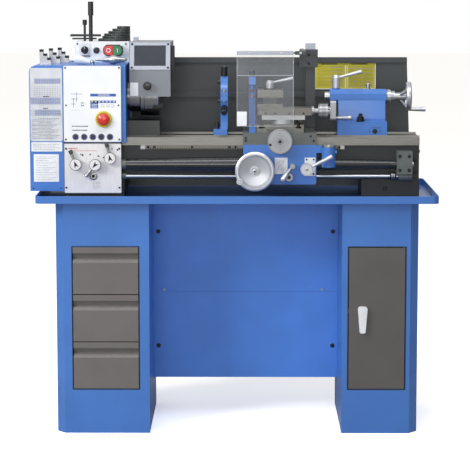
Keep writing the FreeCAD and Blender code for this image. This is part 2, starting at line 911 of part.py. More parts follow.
def chip_tray():
    half = s.tray_length / 2
    front = -s.tray_front
    back = s.tray_back

    def outline(inset):
        return [(inset - half, front + inset), (half - inset, front + inset),
                (half - inset, back - inset), (inset - half, back - inset)]

    rounds = {k: s.tray_corner for k in range(4)}
    inner_rounds = {k: s.tray_corner - s.tray_sheet for k in range(4)}
    pan = prism("tray_pan", "XY", outline(as_size(0)), s.cabinet_height, s.cabinet_height + s.tray_lip,
                rounds=rounds)
    room = prism("tray_room", "XY", outline(s.tray_sheet), tray_floor,
                 s.cabinet_height + s.tray_lip + s.overrun, rounds=inner_rounds)
    node("chip_tray", cut("tray_whole", pan, room))


def backsplash():
    """A tall sheet with a hem along its top, a groove where its two halves meet and a leaning end."""
    front = s.splash_y
    back = front + s.splash_sheet
    top = tray_floor + s.splash_height
    gap = tray_floor + s.splash_gap_height
    groove = front + s.splash_sheet * 0.6
    hem = front - s.splash_hem_depth
    roll = front - s.splash_roll_depth
    profile = [(front, tray_floor), (back, tray_floor), (back, top), (hem, top), (hem, top - s.splash_hem),
               (front, top - s.splash_hem), (front, gap + s.splash_gap), (groove, gap + s.splash_gap),
               (groove, gap), (roll, gap), (roll, gap - s.splash_roll), (front, gap - s.splash_roll)]
    strip = prism("splash_strip", "YZ", profile, -s.splash_left, s.splash_right)
    outline = [(-s.splash_left, tray_floor), (s.splash_right, tray_floor),
               (s.splash_right - s.splash_lean, top), (-s.splash_left, top)]
    face = prism("splash_face", "XZ", outline, roll - s.overrun, back + s.overrun)
    whole = doc.addObject("Part::Common", "splash_whole")
    whole.Base = strip
    whole.Tool = face
    node("backsplash", whole)


def vee(centre, grow):
    """The three points of an inverted vee way, from front to back."""
    return [(centre - s.vee_half - grow, way_z), (centre, way_z + s.vee_height + grow),
            (centre + s.vee_half + grow, way_z)]


def bed():
    """The casting: ground ways over a narrower web, ribs between the shears, and two feet."""
    flat = [(-s.web_half, bed_bottom), (s.web_half, bed_bottom), (s.web_half, web_z),
            (s.way_half, web_z), (s.way_half, way_z)]
    flat += list(reversed(vee(s.rear_vee, as_size(0)))) + list(reversed(vee(-s.front_vee, as_size(0))))
    flat += [(-s.way_half, way_z), (-s.way_half, web_z), (-s.web_half, web_z)]
    body = prism("bed_section", "YZ", flat, -s.bed_left, s.bed_right)
    slots = [box(f"bed_slot_{i}", (s.rib_pitch * i - s.bed_left + s.rib_start + s.rib_thickness,
                                   s.rib_pitch * (i + 1) - s.bed_left + s.rib_start),
                 (-s.gap_half, s.gap_half), (bed_bottom - s.overrun, way_z + s.overrun))
             for i in range(5)]
    left_foot = box("bed_left_foot", (-s.bed_left, s.left_foot_length - s.bed_left),
                    (-s.web_half, s.way_half), (tray_floor, bed_bottom))
    right_foot = box("bed_right_foot", (s.bed_right - s.foot_length, s.bed_right),
                     (-s.way_half, s.way_half), (tray_floor, bed_bottom))
    node("bed", fused("bed_whole", cut("bed_ways", body, *slots), left_foot, right_foot))


def rack():
    """The rack bolted under the front way, its teeth pointing down."""
    pitch = math.pi * s.rack_module.value
    left = -s.rack_left.value
    top = s.rack_height.value
    tooth = s.rack_module.value * 2
    count = int((s.rack_left.value + s.rack_right.value) / pitch)
    points = [Vector(left, 0, top)]
    for k in range(count):
        start = left + pitch * k
        for across_share, height in ((0, tooth), (1 / 6, tooth), (1 / 3, 0), (2 / 3, 0), (5 / 6, tooth)):
            points.append(Vector(start + pitch * across_share, 0, height))
    points.append(Vector(left + pitch * count, 0, tooth))
    points.append(Vector(left + pitch * count, 0, top))
    points.append(points[0])
    bar = doc.addObject("Part::Feature", "rack_bar")
    face = Part.Face(Part.makePolygon(points))
    bar.Shape = face.extrude(Vector(0, s.rack_thickness.value, 0))
    place(bar, (0, -s.way_half, web_z - s.rack_height))
    node("feed_rack", bar)


# Headstock end
def headstock():
    """The headstock casting, bored for the spindle, with the low block under the chuck."""
    left = -s.bed_left
    right = -s.head_right
    casting = prism("head_casting", "YZ", [
        (-s.head_front, s.box_top + s.head_skirt_gap), (-s.way_half, s.box_top + s.head_skirt_gap),
        (-s.way_half, way_z),
        *vee(-s.front_vee, as_size(0)), *vee(s.rear_vee, as_size(0)),
        (s.way_half, way_z), (s.head_back, way_z), (s.head_back, s.head_top), (-s.head_front, s.head_top)],
        left, right)
    block_top = way_z + s.foot_block_height
    block = prism("head_block", "YZ", [
        (-s.foot_block_half, way_z), *vee(s.rear_vee, as_size(0)), (s.foot_block_half, way_z),
        (s.foot_block_half, block_top), (-s.foot_block_half, block_top)], right, -s.foot_block_right)
    bore = rod("head_bore", "X", (left - s.overrun, 0, axis_z), s.spindle_radius + s.running,
               s.bed_left - s.head_right + s.overrun * 2)
    stop_hole = rod("head_stop_hole", "Y", (-s.stop_x, -s.head_front - s.overrun - s.stop_collar, s.stop_z),
                    s.stop_stem + s.running, s.stop_stem_depth * 2 + s.overrun)
    collar = rod("head_stop_collar", "-Y", (-s.stop_x, -s.head_front, s.stop_z), s.stop_collar_radius,
                 s.stop_collar)
    node("headstock_housing", cut("head_whole", fused("head_body", casting, block, collar), bore, stop_hole))


LEVERS = ("left", "middle", "right")


def lever_place(which):
    return -getattr(s, which + "_lever_x"), getattr(s, which + "_lever_z")


def feed_gearbox():
    """The feed gearbox under the headstock, with bosses for the leadscrew and feed rod."""
    right = -s.box_right
    block = prism("box_block", "YZ", [
        (-s.box_front, s.box_bottom), (-s.web_half, s.box_bottom), (-s.web_half, web_z),
        (-s.way_half, web_z), (-s.way_half, s.box_top), (-s.box_front, s.box_top)], -s.bed_left, right)
    bosses = [rod(f"box_boss_{k}", "X", (right, -s.screw_y, z), radius, s.boss_length)
              for k, z, radius in (("screw", s.screw_z, s.boss_radius), ("rod", s.feed_rod_z, s.collar_radius))]
    bores = [rod(f"box_bore_{k}", "X", (right - s.screw_depth, -s.screw_y, z), radius + s.running,
                 s.screw_depth + s.boss_length + s.overrun)
             for k, z, radius in (("screw", s.screw_z, s.screw_radius), ("rod", s.feed_rod_z, s.feed_rod_radius))]
    for which in LEVERS:
        x, z = lever_place(which)
        bores.append(rod(f"box_{which}_hole", "Y", (x, -s.box_front - s.overrun, z),
                         s.lever_stem_radius + s.running, s.lever_stem_depth + s.overrun + s.seat))
    node("feed_gearbox", cut("box_whole", fused("box_body", block, *bosses), *bores))


def box_lever(which):
    """A disc knob with a tapered handle, turned to where it stands."""
    x, z = lever_place(which)
    front = -s.box_front
    disc = turned(f"{which}_disc", "-Y", (x, front, z), [
        (s.seat, 0), (s.seat, s.lever_disc_radius * 0.7), (s.lever_disc_depth * 0.35, s.lever_disc_radius),
        (s.lever_disc_depth, s.lever_disc_radius), (s.lever_disc_depth, 0)])
    stem = rod(f"{which}_stem", "Y", (x, front - s.lever_disc_depth * 0.5, z), s.lever_stem_radius,
               s.lever_disc_depth * 0.5 + s.lever_stem_depth)
    handle = taper(f"{which}_handle", lever_turn(LEVER_ANGLES[which]), (x, front - s.lever_plane, z), s.lever_root_radius, s.lever_tip_radius, s.lever_reach)
    node(f"{which}_feed_lever", fused(f"{which}_lever_whole", disc, stem, handle))


def gear_cover():
    """The end cover over the belt and change gears, open towards the headstock."""
    right = -s.bed_left
    outer = prism("cover_outer", "XZ", [
        (-s.cover_left, s.cover_bottom), (right, s.cover_bottom), (right, s.head_top),
        (-s.cover_left, s.head_top)], -s.cover_front, s.cover_back, rounds={3: s.cover_corner})
    w = s.cover_sheet
    inner = prism("cover_room", "XZ", [
        (w - s.cover_left, s.cover_bottom + w), (right + s.overrun, s.cover_bottom + w),
        (right + s.overrun, s.head_top - w), (w - s.cover_left, s.head_top - w)],
        w - s.cover_front, s.cover_back - w, rounds={3: s.cover_corner - w})
    hole = rod("cover_hole", "X", (-s.cover_left - s.overrun, 0, axis_z), s.cover_hole_radius,
               w + s.overrun * 2)
    node("gear_cover", cut("cover_whole", outer, inner, hole))


def motor():
    """The motor behind the bed, on a foot against the bed's rear face."""
    shell = turned("motor_shell", "X", (-s.motor_left, s.motor_y, s.motor_z), [
        (0, 0), (0, s.motor_bell_radius), (s.motor_bell_length, s.motor_radius),
        (s.motor_length - s.motor_bell_length, s.motor_radius), (s.motor_length, s.motor_bell_radius),
        (s.motor_length, 0)])
    foot = box("motor_foot", (-s.motor_foot_left, s.motor_foot_length - s.motor_foot_left),
               (s.web_half, s.motor_y), (s.motor_z - s.motor_foot_height / 2,
                                         s.motor_z + s.motor_foot_height / 2))
    bore = rod("motor_bore", "X", (-s.motor_left - s.overrun, s.motor_y, s.motor_z),
               s.motor_shaft_radius + s.running, s.motor_shaft_depth + s.overrun + s.seat)
    node("motor", cut("motor_whole", fused("motor_body", shell, foot), bore))


def pulley_outline(radius):
    """A flanged pulley's half section, from its left side to its right."""
    flange = radius + s.pulley_flange_height
    end = s.pulley_width
    return [(0, flange), (s.pulley_flange, flange), (s.pulley_flange, radius),
            (end - s.pulley_flange, radius), (end - s.pulley_flange, flange), (end, flange)]


def motor_pulley():
    at = (-s.pulley_left, s.motor_y, s.motor_z)
    reach = s.pulley_left - s.motor_left + s.motor_shaft_depth
    node("motor_pulley", turned("motor_pulley_whole", "X", at, [
        (0, 0), *pulley_outline(s.motor_pulley_radius), (s.pulley_width, s.motor_shaft_radius),
        (reach, s.motor_shaft_radius), (reach, 0)]))


def drive_belt():
    """The belt round the motor and spindle pulleys: two arcs joined by their common tangents."""
    gap = s.seat.value
    away = Vector(0, s.motor_y.value, s.motor_z.value - axis_z.value)
    distance = away.Length
    along = away.normalize()
    across = Vector(1, 0, 0).cross(along)

    def loop(grow):
        big = s.spindle_pulley_radius.value + grow
        small = s.motor_pulley_radius.value + grow
        lean = math.asin((big - small) / distance)

        def rim(centre, radius, angle):
            return centre + along * (radius * math.cos(angle)) + across * (radius * math.sin(angle))

        near = Vector(0, 0, 0)
        far = along * distance
        meet = math.pi / 2 - lean
        a, b = rim(near, big, meet), rim(near, big, -meet)
        c, d = rim(far, small, meet), rim(far, small, -meet)
        edges = [Part.Arc(a, rim(near, big, math.pi), b).toShape(), Part.LineSegment(b, d).toShape(),
                 Part.Arc(d, rim(far, small, 0), c).toShape(), Part.LineSegment(c, a).toShape()]
        return Part.Face(Part.Wire(edges))

    width = s.pulley_width.value - (s.pulley_flange.value + gap) * 2
    ring = loop(gap + s.belt_thickness.value).cut(loop(gap))
    belt = doc.addObject("Part::Feature", "belt_loop")
    belt.Shape = ring.extrude(Vector(width, 0, 0))
    place(belt, (s.pulley_flange + s.seat - s.pulley_left, 0, axis_z))
    node("drive_belt", belt)


def electrical_box():
    """The control cabinet behind the headstock, with the push-button station and the guard's pin."""
    left = -s.electric_left
    right = -s.electric_right
    front = s.head_back
    shell = box("electric_shell", (left, right), (front, s.electric_back), (s.electric_bottom, s.electric_top))
    station = box("electric_station", (-s.station_left, s.station_width - s.station_left),
                  (front - s.station_depth, front),
                  (s.station_bottom, s.station_bottom + s.station_height))
    pin = rod("guard_pin", "X", (right, s.guard_pivot_y, s.guard_pivot_z), s.guard_pin_radius,
              s.guard_pin_length)
    holes = [rod(f"button_hole_{k}", "Y", (x, front - s.station_depth - s.overrun, button_z),
                 s.button_radius + s.running, s.overrun + s.button_depth + s.button_proud)
             for k, x in enumerate(button_x)]
    holes.append(rod("selector_hole", "Y", (-s.selector_x, front - s.overrun, s.selector_z),
                     s.selector_stem + s.running, s.overrun + s.selector_stem_length + s.seat))
    node("electrical_box", cut("electric_whole", fused("electric_body", shell, station, pin), *holes))


button_z = s.derive("button_z", s.station_bottom + s.station_height / 2)
button_x = (s.button_inset - s.station_left, s.station_width - s.button_inset - s.station_left)


def push_button(label, x):
    front = s.head_back - s.station_depth
    node(label, rod(label + "_cap", "Y", (x, front - s.button_proud, button_z), s.button_radius,
                    s.button_depth + s.button_proud))


def selector_switch():
    """A round selector with a raised bar grip."""
    front = s.head_back - s.seat
    x = -s.selector_x
    face = front - s.selector_depth
    knob = rod("selector_knob", "-Y", (x, front, s.selector_z), s.selector_radius, s.selector_depth)
    grip = box("selector_bar", (x - s.selector_grip / 3, x + s.selector_grip / 3),
               (face - s.selector_grip, face),
               (s.selector_z - s.selector_radius * 0.9, s.selector_z + s.selector_radius * 0.9))
    stem = rod("selector_stem", "Y", (x, front, s.selector_z), s.selector_stem, s.selector_stem_length)
    node("selector_switch", fused("selector_whole", knob, grip, stem))


def emergency_stop():
    """The mushroom button on the headstock's front."""
    face = -s.head_front - s.stop_collar
    node("emergency_stop", turned("stop_whole", "-Y", (-s.stop_x, face, s.stop_z), [
        (-s.stop_stem_depth, 0), (-s.stop_stem_depth, s.stop_stem), (s.stop_stand * 0.4, s.stop_stem),
        (s.stop_stand * 0.4, s.stop_radius * 0.9), (s.stop_stand * 0.7, s.stop_radius),
        (s.stop_stand, s.stop_radius * 0.9), (s.stop_stand + s.stop_height * 0.3, s.stop_radius * 0.5),
        (s.stop_stand + s.stop_height * 0.4, 0)]))


# Spindle and chuck
chuck_back = s.derive("chuck_back", s.seat + s.nose_thickness - s.head_right)
chuck_plate = s.derive("chuck_plate", chuck_back + s.backplate_thickness)
chuck_face = s.derive("chuck_face", chuck_plate + s.chuck_length)
slot_floor = s.derive("slot_floor", chuck_face - s.slot_depth)


def spindle():
    """The hollow spindle with its belt pulley and nose flange."""
    left = -s.spindle_left
    pulley = s.spindle_left - s.pulley_left
    nose = s.spindle_left - s.head_right + s.seat
    r = s.spindle_radius
    outline = [(0, s.spindle_bore), (0, r), *[(pulley + along, radius) for along, radius in
                                              ([(0, r)] + pulley_outline(s.spindle_pulley_radius)
                                               + [(s.pulley_width, r)])],
               (nose, r), (nose, s.nose_radius), (nose + s.nose_thickness, s.nose_radius),
               (nose + s.nose_thickness, s.spindle_bore)]
    node("spindle", turned("spindle_whole", "X", (left, 0, axis_z), outline))


def chuck_body():
    """The scroll chuck's body and backplate: three radial slots, a scroll chamber, key sockets."""
    r = s.chuck_radius
    plate = s.backplate_thickness
    end = plate + s.chuck_length
    body = turned("chuck_blank", "X", (chuck_back, 0, axis_z), [
        (0, s.chuck_bore), (0, s.backplate_radius), (plate * 0.8, s.backplate_radius),
        (plate * 0.8, r - s.chuck_chamfer), (plate * 0.8 + s.chuck_chamfer, r),
        (end - s.chuck_chamfer, r), (end, r - s.chuck_chamfer), (end, s.chuck_bore)])
    chamber = turned("chuck_chamber", "X", (slot_floor - s.scroll_thickness - s.seat * 2, 0, axis_z), [
        (0, s.scroll_inner - s.seat), (0, s.scroll_outer + s.seat),
        (s.scroll_thickness + s.seat * 2, s.scroll_outer + s.seat),
        (s.scroll_thickness + s.seat * 2, s.scroll_inner - s.seat)])
    tools = [chamber]
    for k in range(3):
        turn = Rotation(Vector(1, 0, 0), 120 * k)
        half = s.slot_width / 2
        tools.append(prism(f"chuck_slot_{k}", "YZ", [
            (-half, 0), (half, 0), (half, r + s.overrun), (-half, r + s.overrun)],
            slot_floor, chuck_face + s.overrun, at=(0, 0, axis_z), turn=turn))
        socket = Rotation(Vector(1, 0, 0), 120 * k + 60)
        start = socket.multVec(Vector(0, 0, 1))
        reach = r - s.key_socket_depth
        tools.append(rod(f"chuck_socket_{k}", socket,
                         (slot_floor - s.scroll_thickness / 2, reach * start.y, axis_z + reach * start.z),
                         s.key_socket_radius, s.key_socket_depth + s.overrun))
    node("chuck_body", cut("chuck_whole", body, *tools))


def chuck_scroll():
    """The scroll plate that moves the three jaws together."""
    node("chuck_scroll", turned("scroll_whole", "X", (slot_floor - s.scroll_thickness - s.seat, 0, axis_z), [
        (0, s.scroll_inner), (0, s.scroll_outer), (s.scroll_thickness - s.seat, s.scroll_outer),
        (s.scroll_thickness - s.seat, s.scroll_inner)]))


def jaw_outline(inner, base, face):
    """A stepped jaw seen from the side, as (radius from the axis, along the axis)."""
    first = inner + s.jaw_step
    second = first + s.jaw_step
    last = second + s.jaw_outer_step
    tall = face + s.jaw_reach
    return [(inner, base), (last, base), (last, tall - s.jaw_fall * 2), (second, tall - s.jaw_fall * 2),
            (second, tall - s.jaw_fall), (first, tall - s.jaw_fall), (first, tall), (inner, tall)]


def chuck_jaw(k):
    turn = Rotation(Vector(1, 0, 0), 120 * k)
    half = s.slot_width / 2 - s.seat
    # The outline lies in the plane of the axis and the jaw's own radius.
    outline = [(along, radius) for radius, along in
               jaw_outline(s.jaw_inner, slot_floor + s.seat, chuck_face)]
    node(f"chuck_jaw_{k + 1}", prism(f"jaw_{k}", "XZ", outline, -half, half, at=(0, 0, axis_z), turn=turn))


def chuck_guard():
    """The swing-up guard over the chuck: a folded sheet with a window, and a plate at each end."""
    w = s.guard_sheet
    front = -s.guard_front
    lean = front + s.guard_slope
    left = -s.guard_left
    right = -s.guard_right
    outer = [(front, s.guard_bottom), (front, s.guard_knee), (lean, s.guard_top), (s.guard_back, s.guard_top),
             (s.guard_back, s.guard_back_bottom)]
    inner = [(s.guard_back - w, s.guard_back_bottom), (s.guard_back - w, s.guard_top - w),
             (lean + w, s.guard_top - w), (front + w, s.guard_knee), (front + w, s.guard_bottom)]
    fold = prism("guard_fold", "YZ", outer + inner, left, right)
    window = box("guard_window", (left + s.window_inset, right - s.window_inset),
                 (front - s.overrun, lean + s.overrun),
                 (s.guard_knee + s.window_bottom_inset, s.guard_top - s.window_top_inset))
    end = [(front + w, s.guard_side_bottom), (front + w, s.guard_knee), (lean + w, s.guard_top - w),
           (s.guard_back - w, s.guard_top - w), (s.guard_back - w, s.guard_back_bottom),
           (lean, s.guard_side_bottom)]
    right_end = prism("guard_right_end", "YZ", end, right - w, right)
    left_end = prism("guard_left_end", "YZ", end, left, left + w)
    knuckle = rod("guard_knuckle", "X", (left, s.guard_pivot_y, s.guard_pivot_z), s.guard_pin_radius * 2,
                  w * 3)
    hole = rod("guard_hole", "X", (left - s.overrun, s.guard_pivot_y, s.guard_pivot_z),
               s.guard_pin_radius + s.running, w * 3 + s.overrun * 2)
    body = fused("guard_body", cut("guard_sheet_cut", fold, window), right_end, left_end, knuckle)
    node("chuck_guard", cut("guard_whole", body, hole))


# Feed shafts
def leadscrew():
    start = -s.box_right - s.screw_depth + s.seat
    length = s.end_bracket_left + s.end_bracket_width - start + s.screw_proud
    node("leadscrew", rod("leadscrew_whole", "X", (start, -s.screw_y, s.screw_z), s.screw_radius, length))


def feed_rod():
    start = -s.box_right - s.screw_depth + s.seat
    collar = s.end_bracket_left - start - s.collar_length - s.seat
    end = collar + s.collar_length + s.end_bracket_width
    r = s.feed_rod_radius
    node("feed_rod", turned("feed_rod_whole", "X", (start, -s.screw_y, s.feed_rod_z), [
        (0, 0), (0, r), (collar, r), (collar, s.collar_radius), (collar + s.collar_length, s.collar_radius),
        (collar + s.collar_length, r), (end, r), (end, 0)]))


def end_bracket():
    """The bracket on the bed that carries the right ends of the leadscrew and the feed rod."""
    left = s.end_bracket_left
    right = left + s.end_bracket_width
    plate = box("bracket_plate", (left, right), (-s.end_bracket_front, -s.web_half),
                (s.end_bracket_bottom, s.end_bracket_top))
    boss = rod("bracket_boss", "X", (left + s.end_boss_inset, -s.screw_y, s.feed_rod_z), s.end_boss_radius,
               s.end_bracket_width - s.end_boss_inset)
    back = box("bracket_back", (left + s.end_boss_inset, right), (-s.screw_y, -s.web_half),
               (bed_bottom, s.end_bracket_bottom))
    bores = [rod(f"bracket_bore_{k}", "X", (left - s.overrun, -s.screw_y, z), radius + s.running,
                 s.end_bracket_width + s.overrun * 2)
             for k, z, radius in (("screw", s.screw_z, s.screw_radius), ("rod", s.feed_rod_z, s.feed_rod_radius))]
    node("end_bracket", cut("bracket_whole", fused("bracket_body", plate, boss, back), *bores))


def screw_covers():
    """Telescopic spiral covers: sleeves that step down in size away from the carriage."""
    steps = 5
    left_start = -s.box_right + s.boss_length + s.cover_gap
    left_length = s.saddle_left - s.cover_gap - left_start
    right_start = s.saddle_left + s.saddle_width + s.cover_gap
    right_length = s.end_bracket_left - s.cover_gap - right_start

    def sleeves(name, start, length, first, last):
        points = [(0, s.cover_bore)]
        for k in range(steps):
            radius = first + (last - first) * (k / (steps - 1))
            points += [(length * (k / steps), radius), (length * ((k + 1) / steps), radius)]
        points.append((length, s.cover_bore))
        return turned(name, "X", (start, -s.screw_y, s.screw_z), points)

    node("leadscrew_covers", grouped(
        "covers_whole",
        sleeves("left_cover", left_start, left_length, s.left_cover_small, s.left_cover_large),
        sleeves("right_cover", right_start, right_length, s.right_cover_large, s.right_cover_small)))


# Carriage
saddle_z = s.derive("saddle_z", way_z + s.saddle_thickness)
saddle_right = s.derive("saddle_right", s.saddle_left + s.saddle_width)
cross_bottom = s.derive("cross_bottom", saddle_z + s.seat)
cross_top = s.derive("cross_top", cross_bottom + s.cross_thickness)
cross_middle = s.derive("cross_middle", s.cross_left + s.cross_width / 2)


def saddle():
    """The saddle on the ways: two wings, a bridge with a dovetail guide, and a skirt at each side."""
    under = way_z + s.seat
    front = -s.saddle_front
    back = s.saddle_back
    inner = s.way_half + s.way_clearance
    section = [(front, way_z - s.saddle_skirt), (-inner, way_z - s.saddle_skirt), (-inner, under),
               *[(y, z + s.seat) for y, z in vee(-s.front_vee, s.seat)],
               *[(y, z + s.seat) for y, z in vee(s.rear_vee, s.seat)],
               (inner, under), (inner, way_z - s.saddle_skirt), (back, way_z - s.saddle_skirt),
               (back, saddle_z), (front, saddle_z)]
    plate = prism("saddle_plate", "YZ", section, s.saddle_left, saddle_right)
    waist_front = s.saddle_wing - s.way_half
    windows = [box(f"saddle_waist_{k}", span, (waist_front, -waist_front),
                   (way_z - s.overrun, saddle_z + s.overrun))
               for k, span in (("left", (s.saddle_left - s.overrun, s.cross_left)),
                               ("right", (s.cross_left + s.cross_width, saddle_right + s.overrun)))]
    guide = prism("saddle_guide", "XZ", [
        (cross_middle - s.dovetail_half_root, saddle_z - s.overrun),
        (cross_middle + s.dovetail_half_root, saddle_z - s.overrun),
        (cross_middle + s.dovetail_half_root, saddle_z),
        (cross_middle + s.dovetail_half_top, saddle_z + s.dovetail_height),
        (cross_middle - s.dovetail_half_top, saddle_z + s.dovetail_height),
        (cross_middle - s.dovetail_half_root, saddle_z)], front, back)
    bore = rod("saddle_screw_hole", "Y", (s.cross_dial_x, front - s.overrun, s.cross_dial_z),
               s.cross_shaft_radius + s.running, s.cross_shaft_depth + s.overrun + s.seat)
    node("saddle", cut("saddle_whole", fused("saddle_body", cut("saddle_cast", plate, *windows), guide), bore))


def apron():
    """The apron box, bored for the leadscrew and feed rod, with the thread dial on its arm."""
    front = -s.saddle_front
    top = way_z - s.saddle_skirt
    block = prism("apron_block", "XZ", [
        (s.saddle_left, s.apron_bottom), (saddle_right, s.apron_bottom), (saddle_right, top),
        (s.saddle_left, top)], front, -s.apron_back, rounds={0: s.apron_corner, 1: s.apron_corner})
    dial = rod("dial_barrel", "Z", (s.dial_x, -s.dial_y, s.dial_bottom), s.dial_radius, s.dial_height)
    arm = box("dial_arm", (saddle_right - s.overrun, s.dial_x), (front, front + s.dial_arm_thickness),
              (s.dial_bottom + s.dial_height - s.dial_arm_height, s.dial_bottom + s.dial_height))
    bores = [rod(f"apron_bore_{k}", "X", (s.saddle_left - s.overrun, -s.screw_y, z),
                 radius + s.screw_clearance, s.saddle_width + s.overrun * 2)
             for k, z, radius in (("screw", s.screw_z, s.screw_radius), ("rod", s.feed_rod_z, s.feed_rod_radius))]
    for name, x, z, radius in (("wheel", s.wheel_x, s.wheel_z, s.wheel_shaft_radius),
                               ("half_nut", s.half_nut_x, s.half_nut_z, s.lever_stem_radius),
                               ("engage", s.engage_x, s.engage_z, s.lever_stem_radius)):
        bores.append(rod(f"apron_{name}_hole", "Y", (x, front - s.overrun, z), radius + s.running,
                         s.wheel_shaft_depth + s.overrun + s.seat))
    node("apron", cut("apron_whole", fused("apron_body", block, dial, arm), *bores))


def carriage_handwheel():
    """A dished handwheel with a turned handle near its rim."""
    face = -s.saddle_front - s.seat
    r = s.wheel_radius
    stand = s.wheel_stand
    depth = s.wheel_depth
    hub = s.wheel_hub_radius
    wheel = turned("wheel_disc", "-Y", (s.wheel_x, face, s.wheel_z), [
        (0, 0), (0, hub), (stand, hub), (stand + depth * 0.45, r * 0.82), (stand + depth * 0.5, r),
        (stand + depth * 0.9, r), (stand + depth, r - s.wheel_rim * 0.5), (stand + depth, r - s.wheel_rim),
        (stand + depth * 0.6, r * 0.74), (stand + s.wheel_web * 2, hub * 1.15), (stand + depth * 0.5, hub),
        (stand + depth * 0.5, 0)])
    shaft = rod("wheel_shaft", "Y", (s.wheel_x, face - s.overrun, s.wheel_z), s.wheel_shaft_radius,
                s.wheel_shaft_depth + s.overrun)
    angle = math.radians(LEVER_ANGLES["wheel"])
    grip = taper("wheel_handle", "-Y", (s.wheel_x + s.wheel_handle_radius * math.cos(angle),
                                        face - stand - depth * 0.55,
                                        s.wheel_z + s.wheel_handle_radius * math.sin(angle)),
                 s.wheel_handle_small, s.wheel_handle_large, s.wheel_handle_length)
    node("carriage_handwheel", fused("wheel_whole", wheel, shaft, grip))


def half_nut_lever():
    """A deep round boss with a long tapered handle that closes the half nut on the leadscrew."""
    face = -s.saddle_front - s.seat
    boss = turned("half_nut_boss", "-Y", (s.half_nut_x, face, s.half_nut_z), [
        (0, 0), (0, s.half_nut_radius * 0.7), (s.half_nut_stand, s.half_nut_radius * 0.7),
        (s.half_nut_stand, s.half_nut_radius), (s.half_nut_stand + s.half_nut_disc, s.half_nut_radius),
        (s.half_nut_stand + s.half_nut_disc, 0)])
    stem = rod("half_nut_stem", "Y", (s.half_nut_x, face - s.overrun, s.half_nut_z), s.lever_stem_radius,
               s.wheel_shaft_depth + s.overrun)
    handle = taper("half_nut_handle", lever_turn(LEVER_ANGLES["half_nut"]),
                   (s.half_nut_x, face - s.half_nut_stand - s.half_nut_disc / 2, s.half_nut_z),
                   s.lever_root_radius, s.lever_tip_radius * 1.3, s.half_nut_reach)
    node("half_nut_lever", fused("half_nut_whole", boss, stem, handle))


def feed_engage_lever():
    face = -s.saddle_front - s.seat
    boss = rod("engage_boss", "-Y", (s.engage_x, face, s.engage_z), s.engage_radius, s.engage_length)
    stem = rod("engage_stem", "Y", (s.engage_x, face - s.overrun, s.engage_z), s.lever_stem_radius,
               s.wheel_shaft_depth + s.overrun)
    handle = taper("engage_handle", lever_turn(LEVER_ANGLES["engage"]),
                   (s.engage_x, face - s.engage_length * 0.7, s.engage_z), s.lever_root_radius,
                   s.lever_tip_radius * 1.6, s.engage_reach)
    node("feed_engage_lever", fused("engage_whole", boss, stem, handle))


def follow_rest():
    """An open C frame that stands on the saddle's left edge and steadies the work behind the tool."""
    low = saddle_z
    top = s.follow_top
    inner_post = s.follow_back - s.follow_post
    frame = prism("follow_frame", "YZ", [
        (-s.follow_front, low), (s.follow_back, low), (s.follow_back, top - s.follow_arm),
        (s.follow_back - s.follow_post * 0.6, top), (-s.follow_arm_reach, top),
        (-s.follow_arm_reach, top - s.follow_arm), (inner_post - s.follow_arm / 2, top - s.follow_arm),
        (inner_post, top - s.follow_arm * 1.5), (inner_post, low + s.follow_foot),
        (-s.follow_front, low + s.follow_foot)], s.follow_left, s.follow_left + s.follow_width)
    x = s.follow_left + s.follow_width / 2
    top_finger = rod("follow_top_finger", "Z", (x, 0, axis_z + s.finger_clearance), s.finger_radius,
                     top - axis_z - s.finger_clearance)
    top_knob = rod("follow_top_knob", "Z", (x, 0, top), s.knob_radius, s.knob_length)
    back_finger = rod("follow_back_finger", "Y", (x, s.finger_clearance, axis_z), s.finger_radius,
                      inner_post - s.finger_clearance)
    back_knob = rod("follow_back_knob", "Y", (x, s.follow_back, axis_z), s.knob_radius, s.knob_length)
    node("follow_rest", fused("follow_whole", frame, top_finger, top_knob, back_finger, back_knob))


def cross_slide():
    """The cross slide: a dovetail groove below and two tee slots along its top."""
    left = s.cross_left
    right = left + s.cross_width
    z = cross_bottom
    top = cross_top
    grow = s.seat
    roof = saddle_z + s.dovetail_height + grow
    root = s.dovetail_half_root + grow * 2
    flare = s.dovetail_half_top + grow * 3
    mid = cross_middle

    def tee(centre):
        half = s.tee_mouth / 2
        head = s.tee_head / 2
        neck = top - s.tee_mouth_depth
        floor = neck - s.tee_head_depth
        return [(centre + half, top), (centre + half, neck), (centre + head, neck), (centre + head, floor),
                (centre - head, floor), (centre - head, neck), (centre - half, neck), (centre - half, top)]

    outline = [(left, z), (mid - root, z), (mid - flare, roof), (mid + flare, roof), (mid + root, z),
               (right, z), (right, top), *tee(right - s.tee_inset), *tee(left + s.tee_inset), (left, top)]
    node("cross_slide", prism("cross_whole", "XZ", outline, -s.cross_front, s.cross_back))


def cross_feed_dial():
    """The cross-feed wheel with its graduated ring and shaft."""
    face = -s.saddle_front - s.seat
    ring = s.cross_ring_length
    end = ring + s.cross_dial_thickness
    r = s.cross_dial_radius
    node("cross_feed_dial", turned("cross_dial_whole", "-Y", (s.cross_dial_x, face, s.cross_dial_z), [
        (-s.cross_shaft_depth, 0), (-s.cross_shaft_depth, s.cross_shaft_radius), (0, s.cross_shaft_radius),
        (0, s.cross_ring_radius), (ring, s.cross_ring_radius), (ring, r), (end - s.seat * 5, r),
        (end, r - s.seat * 5), (end, 0)]))


